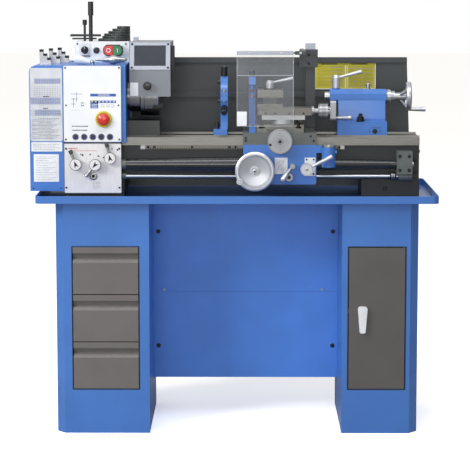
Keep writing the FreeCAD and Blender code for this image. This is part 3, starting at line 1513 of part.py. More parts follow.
def shield_post():
    """The post behind the cross slide that carries the shield on a forward arm."""
    left = s.shield_post_left
    right = left + s.shield_post_width
    front = s.shield_post_front
    back = front + s.shield_post_depth
    foot_low = cross_bottom + s.seat * 5
    foot = box("shield_foot", (s.cross_left + s.cross_width, right), (front, back),
               (foot_low, cross_top))
    post = box("shield_column", (left, right), (front, back), (foot_low, s.shield_post_top))
    head = box("shield_head", (s.shield_head_left, s.shield_head_right),
               (front - s.shield_arm_size, back + s.shield_arm_size),
               (s.shield_post_top - s.shield_head_height, s.shield_post_top))
    cap = box("shield_cap", (left, right), (front, back),
              (s.shield_post_top, s.shield_post_top + s.shield_cap))
    half = s.shield_arm_size / 2
    arm = box("shield_arm", (s.shield_arm_left, s.shield_arm_left + s.shield_arm_size),
              (-s.shield_bar_y, front), (s.shield_bar_z - half, s.shield_bar_z + half))
    link = box("shield_link", (s.shield_link_left, s.shield_arm_left + s.shield_arm_size),
               (-s.shield_bar_y - half, half - s.shield_bar_y),
               (s.shield_bar_z - half, s.shield_bar_z + half))
    pin = rod("shield_pin", "-X", (s.shield_link_left, -s.shield_bar_y, s.shield_bar_z),
              s.shield_pin_radius, s.shield_pin_length)
    node("shield_post", fused("shield_post_whole", foot, post, head, cap, arm, link, pin))


def tool_shield():
    """The clear shield, creased once, that hangs from its top bar."""
    left = -s.shield_left
    right = left + s.shield_width
    y = -s.shield_bar_y
    z = s.shield_bar_z
    w = s.shield_sheet
    shift = y + s.shield_top_shift
    sheet_body = prism("shield_sheet", "YZ", [
        (y, s.shield_bottom), (y + w, s.shield_bottom), (y + w, s.shield_crease), (shift + w, z),
        (shift, z), (y, s.shield_crease)], left, right)
    bar = box("shield_bar", (left, right), (y - s.shield_bar_radius, shift + w),
              (z - s.shield_bar_radius, z + s.shield_bar_radius))
    hole = rod("shield_bar_hole", "-X", (right + s.overrun, y, z), s.shield_pin_radius + s.running,
               s.shield_pin_length + s.overrun)
    node("tool_shield", cut("shield_whole", fused("shield_body", sheet_body, bar), hole))


# Compound slide and tool post
swivel_bottom = s.derive("swivel_bottom", cross_top + s.seat)
base_bottom = s.derive("base_bottom", swivel_bottom + s.swivel_thickness)
slide_bottom = s.derive("slide_bottom", base_bottom + s.compound_base + s.seat)


def compound_base():
    """The swivel base: a round turning plate under a block with a dovetail guide."""
    y = -s.compound_y
    disc = rod("swivel_disc", "Z", (s.compound_x, y, swivel_bottom), s.swivel_radius, s.swivel_thickness)
    block = prism("swivel_block", "YZ", [
        (y - s.compound_half, base_bottom), (y + s.compound_half, base_bottom),
        (y + s.compound_half, slide_bottom - s.seat), (y + s.compound_root, slide_bottom - s.seat),
        (y + s.compound_flare, slide_bottom - s.seat + s.compound_dovetail),
        (y - s.compound_flare, slide_bottom - s.seat + s.compound_dovetail),
        (y - s.compound_root, slide_bottom - s.seat), (y - s.compound_half, slide_bottom - s.seat)],
        s.compound_base_left, s.compound_base_right)
    node("compound_base", fused("swivel_whole", disc, block))


def top_slide():
    """The compound's top slide, which carries the tool post on a stud."""
    y = -s.compound_y
    grow = s.seat * 2
    roof = slide_bottom + s.compound_dovetail
    body = prism("top_slide_block", "YZ", [
        (y - s.compound_half, slide_bottom), (y - s.compound_root - grow, slide_bottom),
        (y - s.compound_flare - grow * 1.5, roof), (y + s.compound_flare + grow * 1.5, roof),
        (y + s.compound_root + grow, slide_bottom), (y + s.compound_half, slide_bottom),
        (y + s.compound_half, s.compound_top), (y - s.compound_half, s.compound_top)],
        s.compound_left, s.compound_right)
    bore = rod("top_slide_bore", "-X", (s.compound_right + s.overrun, y, s.compound_screw_z),
               s.crank_shaft_radius + s.running, s.crank_shaft_depth + s.overrun + s.seat)
    stud = rod("post_stud", "Z", (s.post_x, -s.post_y, s.compound_top), s.post_bore - s.running,
               s.post_height - s.lock_stud_depth * 0.5)
    node("top_slide", fused("top_slide_whole", cut("top_slide_bored", body, bore), stud))


def compound_crank():
    """The compound's dial and ball crank."""
    start = s.compound_right + s.seat
    y = -s.compound_y
    z = s.compound_screw_z
    a = s.crank_flange
    b = a + s.crank_neck
    c = b + s.crank_dial
    d = c + s.crank_collar
    e = d + s.crank_bar
    spindle_part = turned("crank_dial", "X", (start, y, z), [
        (-s.crank_shaft_depth, 0), (-s.crank_shaft_depth, s.crank_shaft_radius), (0, s.crank_shaft_radius),
        (0, s.crank_flange_radius), (a, s.crank_flange_radius), (a, s.crank_neck_radius),
        (b, s.crank_neck_radius), (b, s.crank_dial_radius), (c, s.crank_dial_radius),
        (c, s.crank_collar_radius), (d, s.crank_collar_radius), (d, 0)])
    half = s.crank_bar_half
    bar = prism("crank_bar", "YZ", [
        (y - half, z - s.crank_bar_down), (y + half, z - s.crank_bar_down), (y + half, z + s.crank_bar_up),
        (y - half, z + s.crank_bar_up)], start + d, start + e,
        rounds={k: half * 0.9 for k in range(4)})
    grip = taper("crank_handle", "X", (start + e, y, z - s.crank_bar_down + half), s.crank_handle_small,
                 s.crank_handle_large, s.crank_handle)
    node("compound_crank", fused("crank_whole", spindle_part, bar, grip))


def tool_post():
    """The four-way tool post: a slot on each side, with square-headed clamp screws above it."""
    x = s.post_x
    y = -s.post_y
    half = s.post_side / 2
    base = s.compound_top + s.seat
    top = base + s.post_height
    core = half - s.post_slot_depth
    foot = box("post_foot", (x - half, x + half), (y - half, y + half), (base, base + s.post_floor))
    middle = box("post_core", (x - core, x + core), (y - core, y + core), (base, top))
    slot_top = base + s.post_floor + s.post_slot
    head = box("post_head", (x - half, x + half), (y - half, y + half), (slot_top, top))
    inset = half - s.post_screw_inset
    spread = half * 0.45
    screws = []
    spots = [(-spread, -inset), (spread, -inset), (-spread, inset), (spread, inset),
             (-inset, -spread), (-inset, spread), (inset, -spread), (inset, spread)]
    for k, (dx, dy) in enumerate(spots):
        screws.append(rod(f"post_screw_{k}", "Z", (x + dx, y + dy, slot_top), s.post_screw_radius,
                          top - slot_top + s.post_screw_proud))
    bore = rod("post_bore", "Z", (x, y, base - s.overrun), s.post_bore, s.post_height + s.overrun * 2)
    node("tool_post", cut("post_whole", fused("post_body", foot, middle, head, *screws), bore))


def tool_post_lever():
    """The clamp nut and cranked lever on top of the tool post."""
    x = s.post_x
    y = -s.post_y
    base = s.compound_top + s.seat * 2 + s.post_height
    nut = turned("lock_nut", "Z", (x, y, base), [
        (-s.lock_stud_depth * 0.4, 0), (-s.lock_stud_depth * 0.4, s.post_bore - s.running),
        (0, s.post_bore - s.running), (0, s.lock_radius), (s.lock_height * 0.7, s.lock_radius),
        (s.lock_height, s.lock_radius * 0.7), (s.lock_height, 0)])
    lean = math.degrees(math.atan2(s.lock_rise.value, s.lock_reach.value))
    handle = taper("lock_handle", Rotation(Vector(0, 1, 0), 90 - lean), (x, y, base + s.lock_height * 0.7),
                   s.lever_root_radius, s.lever_tip_radius, s.lock_reach)
    node("tool_post_lever", fused("lock_whole", nut, handle))


# Tailstock
def tailstock():
    """The tailstock casting: a base on the ways, a waisted body and the bored barrel."""
    left = s.tail_left
    right = left + s.tail_width
    under = way_z + s.seat
    base_top = way_z + s.tail_base
    r = s.barrel_radius
    flat = s.barrel_facet
    base = prism("tail_base_block", "YZ", [
        (-s.tail_front, under), *[(y, z + s.seat) for y, z in vee(s.rear_vee, s.seat)],
        (s.tail_back, under), (s.tail_back, base_top), (-s.tail_front, base_top)], left, right)
    body = prism("tail_body", "YZ", [
        (-s.tail_body_half, base_top), (s.tail_body_half, base_top),
        (s.tail_body_half, base_top + s.tail_step), (s.tail_neck_half, axis_z),
        (-s.tail_neck_half, axis_z), (-s.tail_body_half, base_top + s.tail_step)],
        left + s.tail_body_inset, right - s.tail_body_inset)
    barrel = prism("tail_barrel", "YZ", [
        (-r, axis_z - flat), (-flat, axis_z - r), (flat, axis_z - r), (r, axis_z - flat),
        (r, axis_z + flat), (flat, axis_z + r), (-flat, axis_z + r), (-r, axis_z + flat)],
        s.barrel_left, s.barrel_left + s.barrel_length)
    boss = rod("tail_lock_boss", "Z", (s.quill_lock_x, 0, axis_z), s.quill_lock_radius, s.quill_lock_boss)
    bores = [
        rod("tail_bore", "X", (s.barrel_left - s.overrun, 0, axis_z), s.quill_radius + s.running,
            s.barrel_length - s.tail_screw_depth + s.overrun),
        rod("tail_screw_bore", "X", (s.barrel_left, 0, axis_z), s.tail_screw_radius + s.running,
            s.barrel_length + s.overrun),
        rod("tail_lock_hole", "-Z", (s.quill_lock_x, 0, axis_z + s.quill_lock_boss + s.overrun),
            s.quill_lock_stem + s.running, s.quill_lock_stem_depth + s.overrun + s.seat)]
    node("tailstock_body", cut("tail_whole", fused("tail_fused", base, body, barrel, boss), *bores))


def quill():
    """The sliding barrel with a socket in its nose."""
    node("quill", turned("quill_whole", "X", (s.barrel_left - s.quill_proud, 0, axis_z), [
        (0, s.quill_bore), (0, s.quill_radius), (s.quill_length, s.quill_radius),
        (s.quill_length, s.quill_screw_bore), (s.quill_bore_depth, s.quill_screw_bore),
        (s.quill_bore_depth, s.quill_bore * 0.8)]))


def tailstock_handwheel():
    """The graduated ring, hub and three-spoked rim on the quill screw."""
    start = s.barrel_left + s.barrel_length + s.seat
    hub_end = s.tail_dial_length + s.tail_hub_length
    rim_start = hub_end
    rim = s.tail_rim_radius
    w = s.tail_rim_width
    d = s.tail_rim_depth
    hub = turned("tail_hub", "X", (start, 0, axis_z), [
        (-s.tail_screw_depth, 0), (-s.tail_screw_depth, s.tail_screw_radius), (0, s.tail_screw_radius),
        (0, s.tail_dial_radius), (s.tail_dial_length, s.tail_dial_radius),
        (s.tail_dial_length, s.tail_hub_radius), (hub_end, s.tail_hub_radius), (hub_end, 0)])
    ring = turned("tail_rim", "X", (start, 0, axis_z), [
        (rim_start, rim - d * 0.8), (rim_start, rim - d * 0.2), (rim_start + w * 0.3, rim),
        (rim_start + w * 0.7, rim), (rim_start + w, rim - d * 0.2), (rim_start + w, rim - d * 0.8),
        (rim_start + w * 0.7, rim - d), (rim_start + w * 0.3, rim - d)])
    reach = hub_end - s.tail_dial_length - s.tail_hub_radius
    across = rim - d / 2
    slant = math.degrees(math.atan2(across.value, (reach + w / 2).value))
    spokes = []
    for k in range(3):
        turn = Rotation(Vector(1, 0, 0), 120 * k + 180).multiply(lever_turn(slant))
        spokes.append(rod(f"tail_spoke_{k}", turn, (start + s.tail_dial_length + s.tail_hub_radius, 0, axis_z),
                          s.tail_spoke_radius, diagonal(across, reach + w / 2)))
    handle = taper("tail_handle", "X", (start + rim_start + w * 0.5, 0, axis_z - s.tail_handle_offset),
                   s.tail_handle_small, s.tail_handle_large, s.tail_handle_length)
    node("tailstock_handwheel", fused("tail_wheel_whole", hub, ring, handle, *spokes))


def quill_lock_lever():
    """The clamp hub and lever on top of the tailstock barrel."""
    z = axis_z + s.quill_lock_boss + s.seat
    hub = turned("quill_lock_hub", "Z", (s.quill_lock_x, 0, z), [
        (-s.quill_lock_stem_depth, 0), (-s.quill_lock_stem_depth, s.quill_lock_stem), (0, s.quill_lock_stem),
        (0, s.quill_lock_radius), (s.quill_lock_height * 0.8, s.quill_lock_radius),
        (s.quill_lock_height, s.quill_lock_radius * 0.6), (s.quill_lock_height, 0)])
    lean = math.degrees(math.atan2(s.quill_lock_rise.value, s.quill_lock_reach.value))
    handle = taper("quill_lock_handle", Rotation(Vector(0, 1, 0), 90 - lean),
                   (s.quill_lock_x, 0, z + s.quill_lock_height * 0.75), s.lever_root_radius,
                   s.lever_tip_radius * 1.2, s.quill_lock_reach)
    node("quill_lock_lever", fused("quill_lock_whole", hub, handle))


# Steady rest
def steady_finger(name, angle, inner, outer):
    """A bronze-tipped finger with its knob, pointing at the axis."""
    out = Vector(0, math.sin(math.radians(angle)), math.cos(math.radians(angle)))
    turn = Rotation(Vector(0, 0, 1), out)
    x = s.steady_width / 2 - s.steady_left
    stem = rod(name + "_stem", turn, (x, inner * out.y, axis_z + inner * out.z), s.finger_radius,
               outer - inner)
    knob = rod(name + "_knob", turn, (x, outer * out.y, axis_z + outer * out.z), s.knob_radius,
               s.steady_knob_length)
    return [stem, knob]


def steady_rest():
    """The lower half of the steady rest, with its foot on the ways and the two lower fingers."""
    left = -s.steady_left
    right = left + s.steady_width
    split = axis_z + s.steady_split
    under = way_z + s.seat
    half = s.steady_base_half
    base = prism("steady_foot", "YZ", [
        (-half, under), *[(y, z + s.seat) for y, z in vee(s.rear_vee, s.seat)], (half, under),
        (half, way_z + s.steady_base_height), (-half, way_z + s.steady_base_height)],
        -s.steady_base_left, s.steady_base_width - s.steady_base_left)
    neck = prism("steady_neck", "YZ", [
        (-half, way_z + s.steady_base_height), (half, way_z + s.steady_base_height),
        (s.steady_neck, axis_z - s.steady_inner), (-s.steady_neck, axis_z - s.steady_inner)], left, right)
    disc = rod("steady_disc", "X", (left, 0, axis_z), s.steady_outer, s.steady_width)
    clear = box("steady_upper_space", (left - s.overrun, right + s.overrun),
                (-s.steady_outer - s.overrun, s.steady_outer + s.overrun),
                (split, axis_z + s.steady_outer + s.overrun))
    window = rod("steady_window", "X", (left - s.overrun, 0, axis_z), s.steady_inner,
                 s.steady_width + s.overrun * 2)
    lug = box("steady_front_lug", (left, right), (-s.steady_outer - s.steady_lug / 2, -s.steady_inner - s.overrun),
              (split - s.steady_lug_height, split))
    hinge_y = s.steady_outer + s.steady_lug_height / 2
    web = box("steady_hinge_web", (left, right), (s.steady_inner + s.overrun, hinge_y),
              (split - s.steady_lug_height, split - s.steady_lug_height / 2))
    pin = rod("steady_pin", "X", (left, hinge_y, split), s.steady_pin_radius, s.steady_width)
    ear = s.steady_width / 4
    ears = [box(f"steady_{side}_ear", span, (s.steady_inner + s.overrun * 2, hinge_y + s.steady_pin_radius * 2),
                (split - s.steady_lug_height, split + s.steady_pin_radius * 2))
            for side, span in (("left", (left, left + ear)), ("right", (right - ear, right)))]
    fingers = (steady_finger("steady_front", -120, s.finger_clearance, s.steady_outer)
               + steady_finger("steady_back", 120, s.finger_clearance, s.steady_outer))
    ring = cut("steady_half_ring", fused("steady_solid", disc, neck), clear, window)
    node("steady_rest", fused("steady_whole", ring, base, lug, web, *ears, pin, *fingers))


def steady_arm():
    """The upper half of the steady rest, hinged at the back, with the top finger."""
    left = -s.steady_left
    right = left + s.steady_width
    split = axis_z + s.steady_split
    disc = rod("arm_disc", "X", (left, 0, axis_z), s.steady_outer, s.steady_width)
    below = box("arm_lower_space", (left - s.overrun, right + s.overrun),
                (-s.steady_outer - s.overrun, s.steady_outer + s.overrun),
                (axis_z - s.steady_outer - s.overrun, split + s.steady_split_gap))
    window = rod("arm_window", "X", (left - s.overrun, 0, axis_z), s.steady_inner,
                 s.steady_width + s.overrun * 2)
    hinge_y = s.steady_outer + s.steady_lug_height / 2
    tongue_left = left + s.steady_width / 4 + s.seat
    tongue_right = right - s.steady_width / 4 - s.seat
    ear_space = [box(f"arm_{side}_ear_space", span, (s.steady_inner, s.steady_outer + s.overrun),
                     (split, split + s.steady_pin_radius * 3))
                 for side, span in (("left", (left - s.overrun, tongue_left)),
                                    ("right", (tongue_right, right + s.overrun)))]
    knuckle = rod("arm_knuckle", "X", (tongue_left, hinge_y, split), s.steady_pin_radius * 1.8,
                  tongue_right - tongue_left)
    web = box("arm_web", (tongue_left, tongue_right), (s.steady_inner + s.overrun, hinge_y),
              (split + s.steady_split_gap, split + s.steady_pin_radius * 1.8))
    hole = rod("arm_pin_hole", "X", (left, hinge_y, split), s.steady_pin_radius + s.running, s.steady_width)
    lug = box("arm_front_lug", (left, right), (-s.steady_outer - s.steady_lug / 2, -s.steady_inner - s.overrun),
              (split + s.steady_split_gap, split + s.steady_split_gap + s.steady_lug_height))
    finger = steady_finger("arm_finger", 0, s.finger_clearance, s.steady_outer)
    ring = cut("arm_half_ring", disc, below, window, *ear_space)
    node("steady_arm", cut("arm_whole", fused("arm_body", ring, knuckle, web, lug, *finger), hole))


# Loose items kept on top of the headstock
def loose_tools():
    """The chuck key and a small tee wrench on the electrical box, and three spare jaws on the cover."""
    z = s.electric_top
    key_shaft = rod("key_shaft", "Z", (-s.key_x, s.key_y, z), s.key_radius, s.key_height)
    key_head = rod("key_head", "Z", (-s.key_x, s.key_y, z + s.key_height - s.key_head), s.key_head_radius,
                   s.key_head)
    key_bar = rod("key_bar", "X", (-s.key_x - s.key_bar_left, s.key_y, z + s.key_bar_height),
                  s.key_bar_radius, s.key_bar_left + s.key_bar_right)
    wrench = rod("wrench_shaft", "Z", (-s.wrench_x, s.wrench_y, z), s.wrench_radius, s.wrench_height)
    wrench_head = rod("wrench_head", "Z", (-s.wrench_x, s.wrench_y, z + s.wrench_height - s.wrench_head),
                      s.wrench_head_radius, s.wrench_head)
    wrench_bar = rod("wrench_bar", "X", (-s.wrench_x - s.wrench_bar_left, s.wrench_y, z + s.wrench_bar_height),
                     s.wrench_bar_radius, s.wrench_bar_left + s.wrench_bar_right)
    tools = [fused("key_whole", key_shaft, key_head, key_bar),
             fused("wrench_whole", wrench, wrench_head, wrench_bar)]
    foot = s.spare_jaw_foot
    step = s.spare_jaw_step
    rise = s.spare_jaw_height
    for k in (1, 2, 3):
        x = -getattr(s, f"spare_jaw_{k}_x")
        y = getattr(s, f"spare_jaw_{k}_y")
        top = s.head_top
        outline = [(x, top), (x + foot + step * 2, top), (x + foot + step * 2, top + rise * 0.45),
                   (x + foot + step, top + rise * 0.45), (x + foot + step, top + rise * 0.72),
                   (x + foot, top + rise * 0.72), (x + foot, top + rise), (x, top + rise)]
        tools.append(prism(f"spare_jaw_{k}", "XZ", outline, y, y + s.spare_jaw_thickness))
    node("loose_tools", grouped("loose_tools_whole", *tools))


def gear_shape(teeth, module, bore, thickness):
    """A spur gear with straight-flanked teeth."""
    pitch = module * teeth / 2
    tip = pitch + module
    root = pitch - module * 1.2
    points = []
    for k in range(teeth):
        for share, radius in ((-0.28, root), (-0.13, tip), (0.13, tip), (0.28, root)):
            angle = 2 * math.pi * (k + share) / teeth
            points.append(Vector(radius * math.cos(angle), radius * math.sin(angle), 0))
    points.append(points[0])
    blank = Part.Face(Part.makePolygon(points)).extrude(Vector(0, 0, thickness))
    return blank.cut(Part.makeCylinder(bore, thickness))


def spare_gears():
    """The stack of spare change gears on the electrical box, the largest at the bottom, flush at the right."""
    gears = []
    for k, teeth in enumerate(STACK_TEETH):
        gear = doc.addObject("Part::Feature", f"spare_gear_{k}")
        gear.Shape = gear_shape(teeth, s.gear_module.value, s.gear_bore.value, s.gear_thickness.value)
        flush = s.gear_module * ((STACK_TEETH[0] - teeth) / 2)
        gears.append(place(gear, (flush - s.stack_x, s.stack_y, s.electric_top + s.gear_thickness * k)))
    node("spare_gears", grouped("spare_gears_whole", *gears))


def build():
    cabinet("left_cabinet", -stand_half, s.left_cabinet_width, True, drawer_x, s.drawer_opening_width,
            drawer_runners())
    cabinet("right_cabinet", stand_half - s.right_cabinet_width, s.right_cabinet_width, False, door_x,
            s.door_opening_width, door_pins())
    for level, name in enumerate(("bottom_drawer", "middle_drawer", "top_drawer")):
        drawer(name, level)
    cabinet_door()
    door_handle()
    centre_panels()
    chip_tray()
    backsplash()
    bed()
    rack()
    headstock()
    feed_gearbox()
    for which in LEVERS:
        box_lever(which)
    gear_cover()
    motor()
    motor_pulley()
    drive_belt()
    electrical_box()
    push_button("stop_button", button_x[0])
    push_button("start_button", button_x[1])
    selector_switch()
    emergency_stop()
    spindle()
    chuck_body()
    chuck_scroll()
    for k in range(3):
        chuck_jaw(k)
    chuck_guard()
    leadscrew()
    feed_rod()
    end_bracket()
    screw_covers()
    saddle()
    apron()
    carriage_handwheel()
    half_nut_lever()
    feed_engage_lever()
    follow_rest()
    cross_slide()
    cross_feed_dial()
    shield_post()
    tool_shield()
    compound_base()
    top_slide()
    compound_crank()
    tool_post()
    tool_post_lever()
    tailstock()
    quill()
    tailstock_handwheel()
    quill_lock_lever()
    steady_rest()
    steady_arm()
    loose_tools()
    spare_gears()


def check_and_write():
    doc.recompute()
    for thing in doc.Objects:
        if "Invalid" in thing.State or "Error" in thing.State:
            raise RuntimeError(f"{thing.Name} did not recompute: {thing.State}")
    os.makedirs("parts", exist_ok=True)
    for thing in NODES:
        if thing.Shape.isNull() or not thing.Shape.isValid() or not thing.Shape.Solids:
            raise RuntimeError(f"{thing.Label} has no valid solid")
    for thing in NODES:
        thing.Shape.exportStep(f"parts/{thing.Label}.step")
        print(thing.Label, len(thing.Shape.Solids), round(thing.Shape.Volume))


build()
check_and_write()
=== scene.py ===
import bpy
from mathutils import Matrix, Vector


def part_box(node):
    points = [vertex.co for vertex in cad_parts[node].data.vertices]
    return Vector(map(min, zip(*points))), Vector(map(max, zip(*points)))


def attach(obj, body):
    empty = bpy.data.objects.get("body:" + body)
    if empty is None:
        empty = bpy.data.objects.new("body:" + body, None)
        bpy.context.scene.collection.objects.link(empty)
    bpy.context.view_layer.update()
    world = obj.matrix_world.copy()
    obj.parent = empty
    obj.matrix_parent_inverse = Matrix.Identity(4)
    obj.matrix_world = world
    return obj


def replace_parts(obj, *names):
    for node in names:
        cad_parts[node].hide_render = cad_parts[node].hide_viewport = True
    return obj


bl_info = {
    "name": "Bench engine lathe",
    "version": (1, 0, 0),
    "blender": (4, 5, 0),
    "location": "3D View > Sidebar > Lathe",
    "description": "Dresses an engine lathe on its stand: enamel, ground metal, plates, dials and screws",
    "category": "Object",
}

from math import atan2, cos, hypot, pi, radians, sin
from types import SimpleNamespace

import bmesh
import bpy
from bpy.props import FloatProperty, FloatVectorProperty, PointerProperty
from mathutils import Vector

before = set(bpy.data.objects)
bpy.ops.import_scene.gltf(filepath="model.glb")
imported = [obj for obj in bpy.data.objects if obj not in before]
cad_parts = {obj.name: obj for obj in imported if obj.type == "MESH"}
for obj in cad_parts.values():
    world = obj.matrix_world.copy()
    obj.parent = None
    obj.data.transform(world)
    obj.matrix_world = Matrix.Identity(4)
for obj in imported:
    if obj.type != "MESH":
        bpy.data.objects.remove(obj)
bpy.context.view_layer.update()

MM = 0.001
X, Y, Z = Vector((1, 0, 0)), Vector((0, 1, 0)), Vector((0, 0, 1))


def tone(red, green, blue):
    """A colour read off a screen, 0 to 255, as the linear values that shaders take."""
    parts = (red / 255, green / 255, blue / 255)
    return tuple(c / 12.92 if c <= 0.04045 else ((c + 0.055) / 1.055) ** 2.4 for c in parts)


def paint(name, red, green, blue, description):
    return FloatVectorProperty(name=name, description=description, subtype="COLOR", size=3, min=0, max=1,
                               default=tone(red, green, blue))


def length(name, millimetres, description):
    return FloatProperty(name=name, description=description, unit="LENGTH", min=0, default=millimetres * MM)


class LatheColours(bpy.types.PropertyGroup):
    """Paints, plastics and metals of the lathe."""

    blue: paint("Blue enamel", 66, 119, 196, "Cabinets, tray, headstock, apron, tailstock and steadies")
    dark: paint("Dark enamel", 56, 60, 62, "Bed casting and splash back")
    warm: paint("Drawer grey", 106, 102, 100, "Drawer fronts")
    door: paint("Door grey", 89, 85, 84, "Cabinet door")
    guard: paint("Guard grey", 124, 128, 135, "Sheet of the chuck guard")
    guard_frame: paint("Guard frame grey", 172, 177, 188, "Frame round the guard's window")
    white: paint("White enamel", 236, 238, 241, "Headstock plate and electrical box")
    chart: paint("Chart plate", 208, 211, 216, "Plate on the gear cover")
    silver: paint("Silver plate", 226, 224, 224, "Satin plate on the feed gearbox")
    yellow: paint("Yellow plate", 196, 186, 52, "Information plate on the splash back")
    ink: paint("Printing ink", 36, 40, 72, "Dark printing")
    ink_blue: paint("Blue ink", 52, 92, 170, "Blue table printing")
    ink_pale: paint("Pale ink", 160, 168, 196, "Faint table printing")
    ground: paint("Ground iron", 144, 142, 136, "Ways of the bed")
    slide: paint("Slide steel", 121, 119, 112, "Slides and tool post")
    steel: paint("Bright steel", 186, 186, 188, "Turned steel")
    chrome: paint("Chrome", 196, 198, 202, "Handwheels and levers")
    iron: paint("Dark iron", 100, 105, 103, "Saddle, brackets and the compound's base")
    oxide: paint("Black oxide and painted shade", 36, 37, 40, "Keys, gears, screws and covers")
    plastic: paint("Black plastic and socket shade", 22, 23, 26, "Knobs and buttons")
    red: paint("Red plastic", 206, 38, 28, "Stop buttons")
    green: paint("Green plastic", 34, 120, 70, "Start button")
    bronze: paint("Bronze", 128, 104, 88, "Steady finger tips")


class LatheSizes(bpy.types.PropertyGroup):
    """Small sizes of the trim, in metres."""

    plate: length("Plate thickness", 1.0, "Thickness of printed plates")
    print_lift: length("Print lift", 0.25, "How far ink stands above its plate")
    panel_screw: length("Panel screw radius", 3.2, "Head radius of the small screws on plates")
    dial_line: length("Dial line width", 0.5, "Width of a graduation")
    spiral_pitch: length("Cover spiral pitch", 24.0, "Pitch of the leadscrew covers' overlapping band")


def power(name, watts, description):
    return FloatProperty(name=name, description=description, unit="POWER", min=0, default=watts)


def turn(name, degrees, description):
    return FloatProperty(name=name, description=description, subtype="ANGLE", default=radians(degrees))


class LatheStage(bpy.types.PropertyGroup):
    """Camera, lamps and floor."""

    eye: FloatVectorProperty(name="Camera place", description="Where the camera stands", size=3,
                             subtype="TRANSLATION", default=(0.0236, -5.9068, 1.4547))
    pitch: turn("Camera pitch", 6.588, "How far the camera looks down")
    yaw: turn("Camera yaw", 0.257, "How far the camera turns left")
    lens: FloatProperty(name="Focal length", description="Focal length in millimetres", default=138.2, min=1)
    shift_x: FloatProperty(name="Shift X", description="Sideways lens shift", default=-0.003)
    shift_y: FloatProperty(name="Shift Y", description="Upright lens shift", default=-0.1)
    key: power("Key lamp", 168, "Power of the large lamp at the front left")
    fill: power("Fill lamp", 68, "Power of the lamp in front")
    strip: power("Strip lamp", 34, "Power of the lamp overhead")
    sky: FloatProperty(name="Room light", description="Strength of the even light from all round", min=0,
                       default=0.4)
    floor_glow: FloatProperty(name="Floor glow", description="How far the floor's shadows are lifted",
                              min=0, default=0.2)


# ---------------------------------------------------------------- shader building


class Wiring:
    """Adds nodes to a shader tree and links them."""

    def __init__(self, tree):
        self.tree = tree

    def feed(self, socket, value):
        if isinstance(value, bpy.types.NodeSocket):
            self.tree.links.new(value, socket)
        else:
            socket.default_value = value

    def add(self, kind, inputs=None, **settings):
        node = self.tree.nodes.new(kind)
        node.location = (220 * (len(self.tree.nodes) % 8), -180 * (len(self.tree.nodes) // 8))
        for name, value in settings.items():
            setattr(node, name, value)
        for name, value in (inputs or {}).items():
            self.feed(node.inputs[name], value)
        return node

    def math(self, operation, a, b=0.0, clamp=False):
        return self.add("ShaderNodeMath", {0: a, 1: b}, operation=operation, use_clamp=clamp).outputs[0]

    def vector(self, operation, a, b):
        node = self.add("ShaderNodeVectorMath", {0: a, 1: b}, operation=operation)
        return node.outputs["Value" if operation in ("DOT_PRODUCT", "LENGTH") else "Vector"]

    def noise(self, vector, scale, detail=2.0, rough=0.5):
        return self.add("ShaderNodeTexNoise", {"Vector": vector, "Scale": scale, "Detail": detail,
                                               "Roughness": rough}).outputs["Fac"]

    def span(self, value, low, high, out_low=0.0, out_high=1.0, smooth=False):
        node = self.add("ShaderNodeMapRange", {"Value": value, "From Min": low, "From Max": high,
                                               "To Min": out_low, "To Max": out_high})
        if smooth:
            node.interpolation_type = "SMOOTHSTEP"
        return node.outputs["Result"]

    def mix(self, factor, a, b, blend="MIX"):
        node = self.add("ShaderNodeMix", data_type="RGBA", blend_type=blend)
        self.feed(node.inputs[0], factor)
        self.feed(node.inputs[6], a if isinstance(a, bpy.types.NodeSocket) else (*a[:3], 1))
        self.feed(node.inputs[7], b if isinstance(b, bpy.types.NodeSocket) else (*b[:3], 1))
        return node.outputs[2]


VALUE, VECTOR, COLOUR = "NodeSocketFloat", "NodeSocketVector", "NodeSocketColor"
SURFACE = {"Colour": COLOUR, "Roughness": VALUE, "Height": VALUE}


def shared_group(name, fill, outputs, **inputs):
    """A shader node group, built once. The inputs are their defaults: a number, a vector or a colour."""
    if name in bpy.data.node_groups:
        return bpy.data.node_groups[name]
    tree = bpy.data.node_groups.new(name, "ShaderNodeTree")
    tree.interface.new_socket(name="Vector", in_out="INPUT", socket_type=VECTOR)
    for socket, default in inputs.items():
        kind = VALUE if isinstance(default, float) else VECTOR if len(default) == 3 else COLOUR
        made = tree.interface.new_socket(name=socket.replace("_", " "), in_out="INPUT", socket_type=kind)
        made.default_value = default
    for socket, kind in outputs.items():
        tree.interface.new_socket(name=socket, in_out="OUTPUT", socket_type=kind)
    wires = Wiring(tree)
    start = wires.add("NodeGroupInput")
    results = fill(wires, start.outputs)
    end = wires.add("NodeGroupOutput")
    for socket, value in results.items():
        tree.links.new(value, end.inputs[socket])
    return tree


def enamel_skin():
    """Sprayed enamel: orange peel, faint blotches, and dust on what faces up."""

    def fill(w, given):
        place = given["Vector"]
        peel = w.noise(place, given["Peel Scale"], 1.0)
        blotch = w.noise(place, 7.0, 3.0)
        normal = w.add("ShaderNodeNewGeometry").outputs["Normal"]
        up = w.add("ShaderNodeSeparateXYZ", {0: normal}).outputs["Z"]
        dusty = w.math("MULTIPLY", w.span(up, 0.5, 1.0), w.span(w.noise(place, 60.0, 4.0), 0.45, 0.8))
        shade = w.mix(w.span(blotch, 0.35, 0.7), given["Colour"], given["Shade"])
        colour = w.mix(w.math("MULTIPLY", dusty, 0.16), shade, (0.62, 0.64, 0.66))
        rough = w.math("ADD", given["Gloss"], w.math("MULTIPLY", w.math("ADD", blotch, dusty), 0.12))
        return {"Colour": colour, "Roughness": rough, "Height": peel}

    return shared_group("Enamel skin", fill, SURFACE, Colour=(0.1, 0.2, 0.5, 1), Shade=(0.08, 0.18, 0.45, 1),
                        Peel_Scale=420.0, Gloss=0.28)


